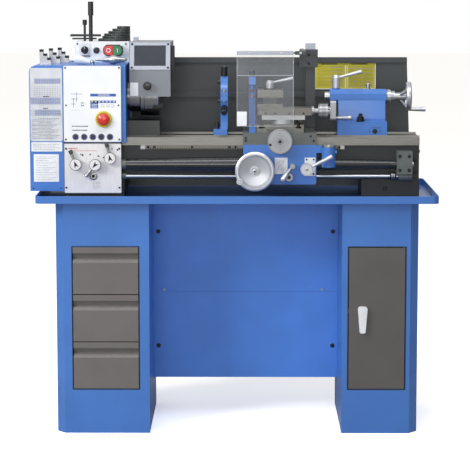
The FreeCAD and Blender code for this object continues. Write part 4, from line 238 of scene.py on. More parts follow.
def machining_marks():
    """Fine straight scratches along one direction, with duller patches where hands and oil have been."""

    def fill(w, given):
        stretched = w.vector("MULTIPLY", given["Vector"], given["Stretch"])
        scratch = w.noise(stretched, 1.0, 4.0, 0.65)
        smear = w.noise(given["Vector"], 11.0, 3.0)
        colour = w.mix(w.span(scratch, 0.3, 0.72), given["Shade"], given["Colour"])
        colour = w.mix(w.span(smear, 0.55, 0.8, 0.0, 0.35), colour, given["Shade"])
        rough = w.math("ADD", given["Gloss"], w.math("MULTIPLY", w.math("ADD", scratch, smear), 0.16))
        return {"Colour": colour, "Roughness": rough, "Height": scratch}

    return shared_group("Machining marks", fill, SURFACE, Stretch=(30.0, 900.0, 900.0),
                        Colour=(0.4, 0.4, 0.4, 1), Shade=(0.3, 0.3, 0.3, 1), Gloss=0.22)


def turning_marks():
    """Rings left by the tool round an axis, broken up by noise."""

    def fill(w, given):
        arm = w.vector("MULTIPLY", w.vector("SUBTRACT", given["Vector"], given["Centre"]), given["Across"])
        radius = w.add("ShaderNodeVectorMath", {0: arm}, operation="LENGTH").outputs["Value"]
        axis = w.vector("SUBTRACT", (1.0, 1.0, 1.0), given["Across"])
        along = w.vector("DOT_PRODUCT", given["Vector"], axis)
        phase = w.math("MULTIPLY", w.math("ADD", radius, along), given["Pitch"])
        line = w.add("ShaderNodeTexNoise", {"W": phase, "Scale": 1.0, "Detail": 3.0},
                     noise_dimensions="1D").outputs["Fac"]
        smear = w.noise(given["Vector"], 22.0, 3.0)
        colour = w.mix(w.span(line, 0.3, 0.7), given["Shade"], given["Colour"])
        rough = w.math("ADD", given["Gloss"], w.math("MULTIPLY", w.math("ADD", line, smear), 0.12))
        return {"Colour": colour, "Roughness": rough, "Height": line}

    return shared_group("Turning marks", fill, SURFACE, Centre=(0.0, 0.0, 0.0), Across=(0.0, 1.0, 1.0),
                        Pitch=1400.0, Colour=(0.5, 0.5, 0.5, 1), Shade=(0.4, 0.4, 0.4, 1), Gloss=0.16)


def cast_grain():
    """Cast or moulded skin: fine pits and slow changes of shade."""

    def fill(w, given):
        pits = w.add("ShaderNodeTexVoronoi", {"Vector": given["Vector"], "Scale": given["Grain Scale"]},
                     feature="SMOOTH_F1").outputs["Distance"]
        blotch = w.noise(given["Vector"], 18.0, 4.0)
        colour = w.mix(w.span(blotch, 0.35, 0.7), given["Colour"], given["Shade"])
        rough = w.math("ADD", given["Gloss"], w.math("MULTIPLY", blotch, 0.2))
        return {"Colour": colour, "Roughness": rough, "Height": pits}

    return shared_group("Cast grain", fill, SURFACE, Colour=(0.1, 0.1, 0.1, 1), Shade=(0.07, 0.07, 0.07, 1),
                        Grain_Scale=520.0, Gloss=0.4)


def band_mask():
    """1 between two distances along a direction, 0 elsewhere, with a crisp edge."""

    def fill(w, given):
        reach = w.vector("DOT_PRODUCT", given["Vector"], given["Along"])
        blur = 0.0002
        above = w.span(reach, w.math("SUBTRACT", given["Low"], blur), given["Low"])
        below = w.span(reach, given["High"], w.math("ADD", given["High"], blur), 1.0, 0.0)
        return {"Mask": w.math("MULTIPLY", above, below)}

    return shared_group("Band mask", fill, {"Mask": VALUE}, Along=(0.0, 0.0, 1.0), Low=0.0, High=1.0)


def toned(colour, share):
    """A colour made darker by a share under 1, or lighter by one above it."""
    return tuple(c * share for c in colour)


class Finish:
    """A material under construction: a Principled shader and the place on the object."""

    def __init__(self, name, metallic=0.0, coat=0.0, specular=0.5):
        self.material = bpy.data.materials.new(name)
        self.material.use_nodes = True
        tree = self.material.node_tree
        tree.nodes.clear()
        self.w = Wiring(tree)
        self.shader = self.w.add("ShaderNodeBsdfPrincipled")
        output = self.w.add("ShaderNodeOutputMaterial")
        tree.links.new(self.shader.outputs[0], output.inputs[0])
        self.place = self.w.add("ShaderNodeTexCoord").outputs["Object"]
        self.shader.inputs["Metallic"].default_value = metallic
        self.shader.inputs["Coat Weight"].default_value = coat
        self.shader.inputs["Coat Roughness"].default_value = 0.08
        self.shader.inputs["Specular IOR Level"].default_value = specular

    def group(self, tree, **inputs):
        node = self.w.add("ShaderNodeGroup")
        node.node_tree = tree
        self.w.feed(node.inputs["Vector"], self.place)
        for name, value in inputs.items():
            socket = node.inputs[name.replace("_", " ")]
            if socket.type == "RGBA" and not isinstance(value, bpy.types.NodeSocket):
                value = (*value[:3], 1)
            self.w.feed(socket, value)
        return node.outputs

    def dress(self, colour, roughness, height=None, depth=0.0002, strength=0.3):
        self.w.feed(self.shader.inputs["Base Color"], colour)
        self.w.feed(self.shader.inputs["Roughness"], roughness)
        if height is not None:
            bump = self.w.add("ShaderNodeBump", {"Height": height, "Strength": strength, "Distance": depth})
            self.w.feed(self.shader.inputs["Normal"], bump.outputs[0])
        return self.material

    def surface(self, parts, depth=0.0002, strength=0.3):
        return self.dress(parts["Colour"], parts["Roughness"], parts["Height"], depth, strength)


def enamel(name, colour, gloss=0.28, peel=420.0, coat=0.25):
    f = Finish(name, coat=coat)
    return f.surface(f.group(enamel_skin(), Colour=colour, Shade=toned(colour, 0.88), Gloss=gloss,
                             Peel_Scale=peel), depth=0.0002, strength=0.22)


def machined(name, colour, stretch=(30.0, 900.0, 900.0), gloss=0.24, metallic=0.9, shade=0.72):
    f = Finish(name, metallic=metallic)
    return f.surface(f.group(machining_marks(), Colour=colour, Shade=toned(colour, shade), Gloss=gloss,
                             Stretch=stretch), depth=0.00008, strength=0.25)


def turned_metal(name, colour, centre, across, gloss=0.14, pitch=1400.0, metallic=1.0):
    f = Finish(name, metallic=metallic)
    return f.surface(f.group(turning_marks(), Colour=colour, Shade=toned(colour, 0.8), Gloss=gloss,
                             Centre=centre, Across=across, Pitch=pitch), depth=0.00005, strength=0.2)


def cast(name, colour, gloss=0.38, grain=520.0, metallic=0.0, coat=0.0):
    f = Finish(name, metallic=metallic, coat=coat)
    return f.surface(f.group(cast_grain(), Colour=colour, Shade=toned(colour, 0.8), Gloss=gloss,
                             Grain_Scale=grain), depth=0.00025, strength=0.25)


def two_finishes(name, paint_colour, metal_colour, band, along=Z, metal_share=1.0, gap=None):
    """Enamel with one metal band across it, measured along a direction. A gap in Y stays enamel."""
    f = Finish(name, coat=0.0)
    skin = f.group(enamel_skin(), Colour=paint_colour, Shade=toned(paint_colour, 0.85), Gloss=0.34,
                   Peel_Scale=520.0)
    metal = f.group(machining_marks(), Colour=metal_colour, Shade=toned(metal_colour, 0.74), Gloss=0.2,
                    Stretch=(18.0, 700.0, 700.0))
    mask = f.group(band_mask(), Along=along, Low=band[0], High=band[1])["Mask"]
    if gap:
        inside = f.group(band_mask(), Along=Y, Low=gap[0], High=gap[1])["Mask"]
        mask = f.w.math("MULTIPLY", mask, f.w.math("SUBTRACT", 1.0, inside))
    f.w.feed(f.shader.inputs["Metallic"], f.w.math("MULTIPLY", mask, metal_share))
    rough, height = [f.w.math("ADD", f.w.math("MULTIPLY", metal[part], mask),
                              f.w.math("MULTIPLY", skin[part], f.w.math("SUBTRACT", 1.0, mask)))
                     for part in ("Roughness", "Height")]
    colour = f.w.mix(mask, skin["Colour"], metal["Colour"])
    return f.dress(colour, rough, height, depth=0.0001, strength=0.25)


def clear_sheet(name, colour, opacity, gloss=0.06):
    """Clear plastic: faint haze that thickens in smears, over a see-through sheet."""
    f = Finish(name, specular=0.3)
    smear = f.w.noise(f.place, 9.0, 3.0)
    f.w.feed(f.shader.inputs["Alpha"], f.w.span(smear, 0.3, 0.75, opacity * 0.85, opacity * 1.2))
    tint = f.w.mix(smear, colour, toned(colour, 0.94))
    return f.dress(tint, f.w.span(smear, 0.3, 0.8, gloss, gloss * 2))


# ---------------------------------------------------------------- mesh building


class Face:
    """A flat side of the lathe: an origin in millimetres, a right and an up direction."""

    def __init__(self, origin, right, up):
        self.origin = Vector(origin)
        self.right, self.up = right, up
        self.out = right.cross(up)

    def at(self, u, v, out=0.0):
        return self.origin + self.right * u + self.up * v + self.out * out


def front_face(y):
    return Face((0, y, 0), X, Z)


def right_face(x):
    return Face((x, 0, 0), Y, Z)


def left_face(x):
    return Face((x, 0, 0), -Y, Z)


def top_face(z):
    return Face((0, 0, z), X, Y)


def node_box(node):
    """Lowest and highest corner of a solid of the lathe, in millimetres."""
    low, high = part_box(node)
    return low / MM, high / MM


def node_middle(node):
    low, high = node_box(node)
    return (low + high) / 2


def trim_sizes(context):
    """The trim's sizes in millimetres, which the mesh code works in."""
    sizes = context.scene.lathe_sizes
    return SimpleNamespace(**{name: getattr(sizes, name) / MM for name in LatheSizes.__annotations__})


class Shape:
    """A piece's mesh, built in millimetres of the lathe's own frame."""

    def __init__(self, key=None):
        self.bm = bmesh.new()
        self.finishes = []
        self.index = 0
        if key:
            self.use(key)

    def use(self, key):
        """Names the finish of what is made next."""
        material = finish_of(key)
        if material not in self.finishes:
            self.finishes.append(material)
        self.index = self.finishes.index(material)
        return self

    def mark(self, faces, smooth=False):
        for face in faces:
            face.material_index = self.index
            face.smooth = smooth

    def patch(self, points):
        """A single flat polygon."""
        self.mark([self.bm.faces.new([self.bm.verts.new(p) for p in points])])

    def tile(self, side, u0, u1, v0, v1, lift):
        self.patch([side.at(u, v, lift) for u, v in ((u0, v0), (u1, v0), (u1, v1), (u0, v1))])

    def round_over(self, edges, radius, segments=2):
        result = bmesh.ops.bevel(self.bm, geom=edges, offset=radius, segments=segments, profile=0.6,
                                 affect="EDGES", clamp_overlap=True)
        self.mark(result["faces"], True)

    def prism(self, outline, along, bevel=0.0, segments=2):
        """An outline pushed along a vector, with its far edge rounded over."""
        near = [self.bm.verts.new(p) for p in outline]
        far = [self.bm.verts.new(Vector(p) + along) for p in outline]
        n = len(near)
        sides = [self.bm.faces.new((near[i], near[(i + 1) % n], far[(i + 1) % n], far[i])) for i in range(n)]
        made = [self.bm.faces.new(list(reversed(near))), self.bm.faces.new(far)] + sides
        self.mark(made)
        if bevel:
            rim = [e for e in self.bm.edges if e.verts[0] in far and e.verts[1] in far]
            self.round_over(rim, bevel, segments)
        return self

    def block(self, x, y, z, bevel=0.0):
        """A block between two corners with all edges rounded."""
        spans = (x, y, z)
        corner = [self.bm.verts.new((spans[0][i], spans[1][j], spans[2][k]))
                  for i in (0, 1) for j in (0, 1) for k in (0, 1)]
        quads = ((0, 1, 3, 2), (4, 6, 7, 5), (0, 4, 5, 1), (2, 3, 7, 6), (0, 2, 6, 4), (1, 5, 7, 3))
        faces = [self.bm.faces.new([corner[i] for i in quad]) for quad in quads]
        self.mark(faces)
        if bevel:
            self.round_over(list({e for f in faces for e in f.edges}), bevel)
        return self

    def plate(self, side, u0, u1, v0, v1, thick, corner=0.0, bevel=0.3, base=0.0):
        """A plate on a face, with rounded corners."""
        outline = rounded_box(u0, u1, v0, v1, corner)
        return self.prism([side.at(u, v, base) for u, v in outline], side.out * thick, bevel)

    def turned(self, at, axis, profile, segments=32, start=0.0, sweep=2 * pi):
        """A solid of revolution. profile is a list of (along the axis, radius)."""
        axis, side, other = square_to(axis)
        full = abs(sweep - 2 * pi) < 1e-6
        steps = segments if full else segments + 1
        rings = []
        for along, radius in profile:
            centre = Vector(at) + axis * along
            if radius == 0:
                rings.append([self.bm.verts.new(centre)])
                continue
            ring = []
            for k in range(steps):
                a = start + sweep * k / segments
                ring.append(self.bm.verts.new(centre + side * (radius * cos(a))
                                              + other * (radius * sin(a))))
            rings.append(ring)
        for low, high in zip(rings, rings[1:]):
            count = max(len(low), len(high))
            for k in range(count if full else count - 1):
                n = (k + 1) % count
                if len(low) == 1:
                    ends = (low[0], high[n], high[k])
                elif len(high) == 1:
                    ends = (low[k], low[n], high[0])
                else:
                    ends = (low[k], low[n], high[n], high[k])
                self.mark([self.bm.faces.new(ends)], True)
        return self

    def screws(self, side, spots, radius, height, socket=None, base=0.0):
        """Cap screws: chamfered heads with a sunk hexagon, which may have a finish of its own; that dark
        hexagon paints the shade in the socket.
        """
        hollow, floor = radius * 0.5, height * 0.45
        corner = hollow * 0.98
        for u, v in spots:
            self.turned(side.at(u, v, base), side.out, [
                (0, radius), (height * 0.85, radius), (height, radius * 0.88), (height, hollow),
                (floor, hollow), (floor, 0)], 20)
            # The hexagon sits just above the hollow's floor as painted shade in the socket.
            if socket:
                kept = self.index
                self.use(socket)
                self.patch([side.at(u + corner * cos(a), v + corner * sin(a), base + height * 0.5)
                            for a in (pi / 3 * k for k in range(6))])
                self.index = kept

    def strip(self, side, points, width, lift):
        """A flat printed line through points on a face."""
        for (u0, v0), (u1, v1) in zip(points, points[1:]):
            run = hypot(u1 - u0, v1 - v0)
            du, dv = (v1 - v0) / run * width / 2, (u0 - u1) / run * width / 2
            self.patch([side.at(u0 - du, v0 - dv, lift), side.at(u0 + du, v0 + dv, lift),
                        side.at(u1 + du, v1 + dv, lift), side.at(u1 - du, v1 - dv, lift)])

    def disc(self, side, u, v, radius, lift, steps=28):
        self.patch([side.at(u + radius * cos(2 * pi * k / steps),
                            v + radius * sin(2 * pi * k / steps), lift) for k in range(steps)])

    def hoop(self, side, u, v, inner, outer, lift, steps=36):
        """A flat printed ring."""
        for k in range(steps):
            a, b = 2 * pi * k / steps, 2 * pi * (k + 1) / steps
            self.patch([side.at(u + r * cos(t), v + r * sin(t), lift)
                        for r, t in ((inner, a), (outer, a), (outer, b), (inner, b))])

    def grid(self, side, u0, u1, v0, v1, columns, rows, line, lift):
        """A printed table's lines."""
        for k in range(columns + 1):
            u = u0 + (u1 - u0) * k / columns
            self.tile(side, u - line / 2, u + line / 2, v0, v1, lift)
        for k in range(rows + 1):
            v = v0 + (v1 - v0) * k / rows
            self.tile(side, u0, u1, v - line / 2, v + line / 2, lift)

    def writing(self, side, u0, u1, v, height, seed, lift):
        """A printed row too small to read: dashes of uneven length."""
        u, k = u0, seed
        while u < u1 - 2:
            k = (k * 37 + 11) % 101
            dash = 2.0 + 5.0 * k / 101
            self.tile(side, u, min(u + dash, u1), v, v + height, lift)
            u += dash + 1.4

    def ruler(self, at, axis, radius, start, length, count, width, long_every=5):
        """Graduations round a dial: raised hairlines along its axis."""
        axis, side, other = square_to(axis)
        for k in range(count):
            a = 2 * pi * k / count
            out = side * cos(a) + other * sin(a)
            across = axis.cross(out) * (width / 2)
            reach = length if k % long_every == 0 else length * 0.55
            base = Vector(at) + axis * start + out * radius
            tip = base + axis * reach
            self.patch([base - across, base + across, tip + across, tip - across])

    def settle(self):
        """Sorts the faces by their points: a bevel leaves them in an order that changes from run to run."""
        self.bm.verts.index_update()
        count = len(self.bm.verts)

        def number(face):
            first, second, third = sorted(v.index for v in face.verts)[:3]
            return (first * count + second) * count + third

        self.bm.faces.sort(key=number)

    def finish(self, name, body, sharp=35.0):
        """Hands the mesh over as one piece that rides on a body."""
        self.settle()
        bmesh.ops.recalc_face_normals(self.bm, faces=self.bm.faces)
        for edge in self.bm.edges:
            edge.smooth = len(edge.link_faces) == 2 and edge.calc_face_angle(0.0) < radians(sharp)
        bmesh.ops.scale(self.bm, vec=(MM, MM, MM), verts=self.bm.verts)
        mesh = bpy.data.meshes.new(name)
        self.bm.to_mesh(mesh)
        self.bm.free()
        for material in self.finishes:
            mesh.materials.append(material)
        piece = bpy.data.objects.new(name, mesh)
        bpy.context.scene.collection.objects.link(piece)
        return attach(piece, body)


def rounded_box(u0, u1, v0, v1, radius, steps=4):
    """The corners of a rectangle, anticlockwise, each rounded."""
    if radius <= 0:
        return [(u0, v0), (u1, v0), (u1, v1), (u0, v1)]
    points = []
    for cu, cv, turn in ((u1 - radius, v0 + radius, -90), (u1 - radius, v1 - radius, 0),
                         (u0 + radius, v1 - radius, 90), (u0 + radius, v0 + radius, 180)):
        for k in range(steps + 1):
            a = radians(turn + 90 * k / steps)
            points.append((cu + radius * cos(a), cv + radius * sin(a)))
    return points


def corners(u0, u1, v0, v1):
    return [(u, v) for u in (u0, u1) for v in (v0, v1)]


def square_to(axis):
    """An axis with two more directions, each square to the other two."""
    axis = Vector(axis).normalized()
    side = axis.orthogonal().normalized()
    return axis, side, axis.cross(side)


FINISHES = {}


def finish_of(key):
    if key not in FINISHES:
        raise KeyError(f"the finish {key} isn't mixed yet")
    return FINISHES[key]


# ---------------------------------------------------------------- finishes of the solids


class LATHE_OT_mix_finishes(bpy.types.Operator):
    """Mix every enamel, plastic and metal finish"""

    bl_idname = "lathe.mix_finishes"
    bl_label = "Mix finishes"

    def execute(self, context):
        c = context.scene.lathe_colours
        axis = sum(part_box("chuck_body"), Vector()) / 2
        # After the colour, enamel takes gloss, peel scale and coat, cast takes gloss, grain scale, metallic
        # and coat, and machined takes the scratches' stretch, gloss, metallic and shade. Gloss is the
        # roughness, so a smaller one is shinier.
        FINISHES.update({
            "blue": enamel("Blue enamel", c.blue, 0.26),
            # Painted light: the centre panels' blue is made half as light again, to lift the shade they sit
            # in under the tray.
            "panel": enamel("Centre panel enamel lightened as painted light", toned(c.blue, 1.5), 0.26),
            "dark": enamel("Dark enamel", c.dark, 0.36, 620.0, 0.1),
            "warm": enamel("Drawer grey enamel", c.warm, 0.4, 700.0, 0.0),
            "door": enamel("Door grey enamel", c.door, 0.42, 700.0, 0.0),
            "guard": enamel("Guard grey enamel", c.guard, 0.34, 600.0, 0.1),
            "guard_frame": enamel("Guard frame enamel", c.guard_frame, 0.3, 600.0, 0.1),
            "white": enamel("White enamel", c.white, 0.3, 500.0, 0.15),
            "chart": cast("Chart plate", c.chart, 0.42, 900.0),
            "silver": machined("Satin silver plate", c.silver, (300.0, 900.0, 20.0), 0.34, 0.15, 0.9),
            "yellow": cast("Yellow plate", c.yellow, 0.45, 900.0),
            "ink": cast("Dark ink and socket shade", c.ink, 0.5, 1200.0),
            "ink_blue": cast("Blue ink", c.ink_blue, 0.5, 1200.0),
            "ink_pale": cast("Pale ink", c.ink_pale, 0.5, 1200.0),
            "ink_white": cast("White ink", c.white, 0.5, 1200.0),
            "label": cast("White label", c.white, 0.36, 1100.0),
            # The ways' ground band starts at their foot, and the slot between them stays painted.
            "bed": two_finishes("Bed paint and ground ways", toned(c.dark, 0.25), c.ground, (0.9225, 1.0),
                                gap=(-0.069, 0.041)),
            # The low block under the chuck, right of the blue housing, is dark.
            "headstock": two_finishes("Headstock enamel and dark block", c.blue, toned(c.iron, 0.3),
                                      (-0.3575, 0.0), X, metal_share=0.2),
            # The spare jaws stand left of the keys.
            "tools": two_finishes("Black keys and bright jaws", c.oxide, c.steel, (-1.0, -0.558), X,
                                  metal_share=0.6),
            "gloss": cast("Glossy black band", c.oxide, 0.14, 300.0, 0.3, 0.5),
            # Pale strips on the clear shield's edges and fold are painted highlights.
            "edge": clear_sheet("Painted highlight on sheet edges", (0.66, 0.7, 0.75), 0.3),
            "bezel": cast("Dark bezel and joint shade", toned(c.plastic, 1.4), 0.4, 900.0),
            "ground": machined("Ground slides", c.slide),
            "ground_y": machined("Slides ground crosswise", c.slide, (900.0, 30.0, 900.0)),
            "swivel": machined("Swivel steel", c.steel, (900.0, 30.0, 900.0), 0.3, 0.5),
            "post": machined("Tool post steel", c.slide, (900.0, 900.0, 60.0), 0.2),
            "bright": machined("Bright steel", c.steel, (25.0, 1400.0, 1400.0), 0.14, 1.0),
            "iron": cast("Dark iron", c.iron, 0.4, 480.0, 0.5),
            "oxide": cast("Black oxide and painted shade", c.oxide, 0.3, 700.0, 0.7),
            "plastic": cast("Black plastic and socket shade", c.plastic, 0.3, 900.0, 0.0, 0.2),
            "red": cast("Red plastic", c.red, 0.22, 900.0, 0.0, 0.4),
            "green": cast("Green plastic", c.green, 0.25, 900.0, 0.0, 0.3),
            "bronze": cast("Bronze", c.bronze, 0.28, 600.0, 0.9),
            "gear": machined("Dark gear steel and slot shade", toned(c.iron, 0.9), (400.0, 400.0, 400.0), 0.3, 0.6),
            "rubber": cast("Belt rubber", c.plastic, 0.6, 500.0),
            "chuck": turned_metal("Turned chuck steel", toned(c.steel, 0.5), axis, (0.0, 1.0, 1.0), 0.16),
            "shield": clear_sheet("Clear shield", (0.72, 0.75, 0.8), 0.07),
            "window": clear_sheet("Smoked window", (0.042, 0.047, 0.06), 0.95, 0.12),
        })
        # Turned parts: the plane across their axis, how light and how metallic they look.
        across_x, across_y = (0.0, 1.0, 1.0), (1.0, 0.0, 1.0)
        for key, node, across, share, metallic in (
                ("wheel_chrome", "carriage_handwheel", across_y, 1.15, 0.6),
                ("dial_chrome", "cross_feed_dial", across_y, 0.66, 0.6),
                ("crank_chrome", "compound_crank", across_x, 0.66, 0.8),
                ("tail_chrome", "tailstock_handwheel", across_x, 0.9, 0.9),
                ("rod_bright", "feed_rod", across_x, 1.0, 1.0),
                ("lever_chrome", "half_nut_lever", across_y, 1.1, 0.6)):
            middle = sum(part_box(node), Vector()) / 2
            if node in ("compound_crank", "tailstock_handwheel"):
                middle.x = 0
            FINISHES[key] = turned_metal(key.replace("_", " ").capitalize(), toned(c.chrome, share), middle,
                                         across, 0.22, metallic=metallic)
        return {"FINISHED"}


SOLIDS = {
    # The centre panels take the lightened blue, which is painted light.
    "panel": ("centre_panels",),
    "blue": ("left_cabinet", "right_cabinet", "chip_tray", "gear_cover", "apron", "steady_rest",
             "steady_arm", "tailstock_body", "follow_rest"),
    "dark": ("backsplash", "shield_post", "motor"),
    "bed": ("bed",),
    "headstock": ("headstock_housing",),
    "tools": ("loose_tools",),
    "warm": ("top_drawer", "middle_drawer", "bottom_drawer"),
    "door": ("cabinet_door",),
    "white": ("electrical_box",),
    "guard": ("chuck_guard",),
    "shield": ("tool_shield",),
    "ground": ("top_slide", "feed_rack"),
    "ground_y": ("cross_slide",),
    "swivel": ("compound_base",),
    "post": ("tool_post",),
    "iron": ("saddle", "feed_gearbox", "end_bracket"),
    "gear": ("spare_gears", "chuck_jaw_1", "chuck_jaw_2", "chuck_jaw_3"),
    "oxide": ("leadscrew_covers", "selector_switch", "chuck_scroll"),
    "bright": ("quill", "leadscrew"),
    "chuck": ("chuck_body", "spindle", "motor_pulley"),
    "rubber": ("drive_belt",),
    "red": ("emergency_stop", "stop_button"),
    "green": ("start_button",),
    "wheel_chrome": ("carriage_handwheel",),
    "label": ("door_handle",),
    "dial_chrome": ("cross_feed_dial", "left_feed_lever", "middle_feed_lever", "right_feed_lever",
                    "feed_engage_lever"),
    "crank_chrome": ("compound_crank",),
    "tail_chrome": ("tailstock_handwheel",),
    "rod_bright": ("feed_rod",),
    "lever_chrome": ("half_nut_lever", "tool_post_lever", "quill_lock_lever"),
}


class LATHE_OT_finish_solids(bpy.types.Operator):
    """Give every solid of the lathe its finish"""

    bl_idname = "lathe.finish_solids"
    bl_label = "Finish the solids"

    def execute(self, context):
        for key, nodes in SOLIDS.items():
            for node in nodes:
                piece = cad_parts[node]
                piece.data.materials.clear()
                piece.data.materials.append(finish_of(key))
        bare = sorted(set(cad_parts) - {n for nodes in SOLIDS.values() for n in nodes})
        if bare:
            raise RuntimeError(f"these solids have no finish: {bare}")
        return {"FINISHED"}


# ---------------------------------------------------------------- headstock end


class LATHE_OT_dress_cover(bpy.types.Operator):
    """Fix the chart plate, the strip and the blank label on the belt cover"""

    bl_idname = "lathe.dress_cover"
    bl_label = "Dress the belt cover"

    def execute(self, context):
        t = trim_sizes(context)
        low, high = node_box("gear_cover")
        side, lift = front_face(low.y), t.plate + t.print_lift
        left, right, top, foot = low.x + 3, high.x - 3, high.z - 8, low.z + 9
        chart, strip = (left, right, top - 235, top), (left + 2, right - 2, top - 268, top - 238)
        blank_label = (left + 9, right - 13, top - 366, top - 277)
        small_screw = t.panel_screw * 0.7
        plates = Shape("chart")
        plates.plate(side, *chart, t.plate, 6)
        plates.use("label")
        for spread in (strip, blank_label):
            plates.plate(side, *spread, t.plate, 2)
        plates.use("iron").screws(side, corners(left + 7, right - 7, foot, foot + 0.1), small_screw, 1.5)
        plates.finish("cover_plates", "stand")
        # Each table's lower and upper edge below the top, how far left its shade and its lines reach, its
        # columns and its rows.
        tables = ((92, 60, None, 0, 10, 5), (50, 34, 0, 0, 10, 3), (116, 95, 12, 12, 12, 4),
                  (152, 134, 0, 12, 12, 3))
        start, end = left + 14, right - 6
        ink = Shape("ink_pale")
        for lower, upper, shade, *_ in tables:
            if shade is not None:
                ink.tile(side, start - shade, end, top - lower, top - upper, lift * 0.9)
        ink.use("ink")
        for lower, upper, _, reach, columns, rows in tables:
            ink.grid(side, start - reach, end, top - lower, top - upper, columns, rows, 0.35, lift)
        for k, (drop, run) in enumerate(((93, 19.2), (131, 16))):
            ink.writing(side, left + 42, left + 42 + run, top - drop, 3.2, 5 + k, lift)
        # Paragraphs: rows, left and right edge, first row below the top, pitch of the rows, height of the
        # letters, the seed of the first row and its step, the shortening of every so many rows.
        for rows, start, end, first, pitch, height, seed, step, cut, every in (
                (15, 6, 8, 162, 4.6, 1.1, 17, 7, 9, 4), (4, 8, 10, 245, 6, 1.2, 31, 1, 14, 2),
                (14, 16, 22, 286, 5.6, 0.8, 3, 5, 12, 3)):
            for k in range(rows):
                indent = 20 * (rows == 15 and k % 3 == 0)
                ink.writing(side, left + start + indent, right - end - cut * (k % every),
                            top - first - pitch * k, height, seed + step * k, lift)
        ink.finish("cover_printing", "stand")
        knobs = Shape("plastic")
        for y in (low.y + 60, high.y - 60):
            knobs.turned((low.x, y, high.z - 22), -X, [(0, 9), (4, 9), (5, 7.4), (5, 0)], 28)
        knobs.finish("cover_knobs", "stand")
        return {"FINISHED"}


class LATHE_OT_dress_headstock(bpy.types.Operator):
    """Fix the white panel, its printing and the knobs on the headstock"""

    bl_idname = "lathe.dress_headstock"
    bl_label = "Dress the headstock"

    def execute(self, context):
        t = trim_sizes(context)
        low, high = node_box("headstock_housing")
        stop = node_middle("emergency_stop")
        side, lift = front_face(low.y), t.plate + t.print_lift
        over = lift + 0.1
        left, right, bottom, top = low.x + 1, low.x + 185, low.z + 3, high.z - 1
        panel = Shape("white")
        panel.plate(side, left, right, bottom, top, t.plate, 4)
        panel.use("iron").screws(side, corners(left + 6, right - 6, bottom + 8, top - 6), t.panel_screw, 2,
                                 base=t.plate)
        panel.screws(side, corners(left + 8, right - 8, top - 126, top - 125.9), t.panel_screw * 0.8, 1.5,
                     base=t.plate)
        panel.use("yellow").turned((stop.x, low.y, stop.z), -Y, [
            (t.plate, 26.6), (t.plate + 1, 26.6), (9, 24.8), (9.6, 24), (9.6, 20.6), (0.5, 20.6)], 40)
        panel.finish("headstock_panel", "stand")
        table, table_end, column = left + 86, left + 168, 25
        ink = Shape("ink_blue")
        for lower, upper, end in ((98, 89, table_end), (119, 111, table_end), (136, 111, table + column)):
            ink.tile(side, table, end, top - lower, top - upper, lift)
        ink.use("ink_pale").tile(side, table + column, table + 62, top - 96.5, top - 90.5, over)
        ink.use("ink_white")
        for k in range(7):
            ink.tile(side, table + 3 + 11.5 * k, table + 9 + 11.5 * k, top - 116.5, top - 113.5, over)
        for k in range(3):
            ink.writing(side, table + 4, table + 22, top - 124 - 4.6 * k, 2, 40 + k, over)
        ink.use("ink")
        for k in range(2):
            for j in range(3):
                start = table + 33 + 17 * j
                ink.writing(side, start, start + 13, top - 126 - 6 * k, 1.4, 60 + k + 3 * j, lift)
        # A small diagram of a gear train: upright shafts, then the levels that join them.
        u, v = left + 24, top - 90
        for line in (((18, 6), (18, -26)), ((8, -12), (8, -44)), ((0, 0), (38, 0)), ((0, -16), (22, -16)),
                     ((0, -32), (14, -32)), ((30, -28), (42, -28)), ((30, -38), (42, -38))):
            ink.strip(side, [(u + du, v + dv) for du, dv in line], 1.1, lift)
        ink.hoop(side, u + 37, v - 33, 3.4, 4.4, lift, 20)
        for k in range(3):
            ink.disc(side, u + 4 + 10 * k, v - 52, 1.1, lift, 10)
        for k in range(2):
            ink.writing(side, left + 26, left + 78, bottom + 36 + 13 * k, 3, 71 + k, lift)
        signs = [(left + 37.5 + 27.6 * k, bottom + 16) for k in range(5)]
        for spot in signs:
            ink.disc(side, *spot, 10.9, lift)
        ink.use("ink_white")
        for spot in signs:
            ink.hoop(side, *spot, 9.2, 9.8, over, 28)
        ink.finish("headstock_printing", "stand")
        y = low.y + 66
        knobs = Shape("white")
        knobs.turned((-476, y, high.z + 7.6), (-1, 0, 0.26), [
            (0, 0), (0, 6.4), (10, 8.4), (28, 13.6), (40, 16), (48, 14.5), (53, 9), (54, 0)], 28)
        knobs.use("bright").turned((-468, y, high.z), Z, [
            (0, 4.6), (4, 4.6), (5, 6.2), (8, 7.6), (12, 6.6), (15, 3), (15.6, 0)], 24)
        knobs.turned((-459, y, high.z + 15.3), X, [
            (0, 0), (0, 3), (48, 8.6), (48, 12), (54, 15), (64, 15), (70, 12), (98, 5), (99, 0)], 32)
        knobs.finish("headstock_knobs", "stand")
        # Painted shade: black caps on the top of each step of the spare jaws stand for the shadows the steps
        # show.
        tips, skin, depth, cap = Shape("oxide"), 0.3, 16, 7.5
        for x, y in ((-640, -60), (-619, 30), (-597, 98)):
            for start, end, rise in ((0, 12, 48), (12, 24, 34.6), (24, 36, 21.6)):
                tips.block((x + start - skin, x + end + skin), (y - skin, y + depth + skin),
                           (high.z + rise - cap, high.z + rise + skin), skin)
        tips.finish("spare_jaw_step_shadows", "stand")
        return {"FINISHED"}


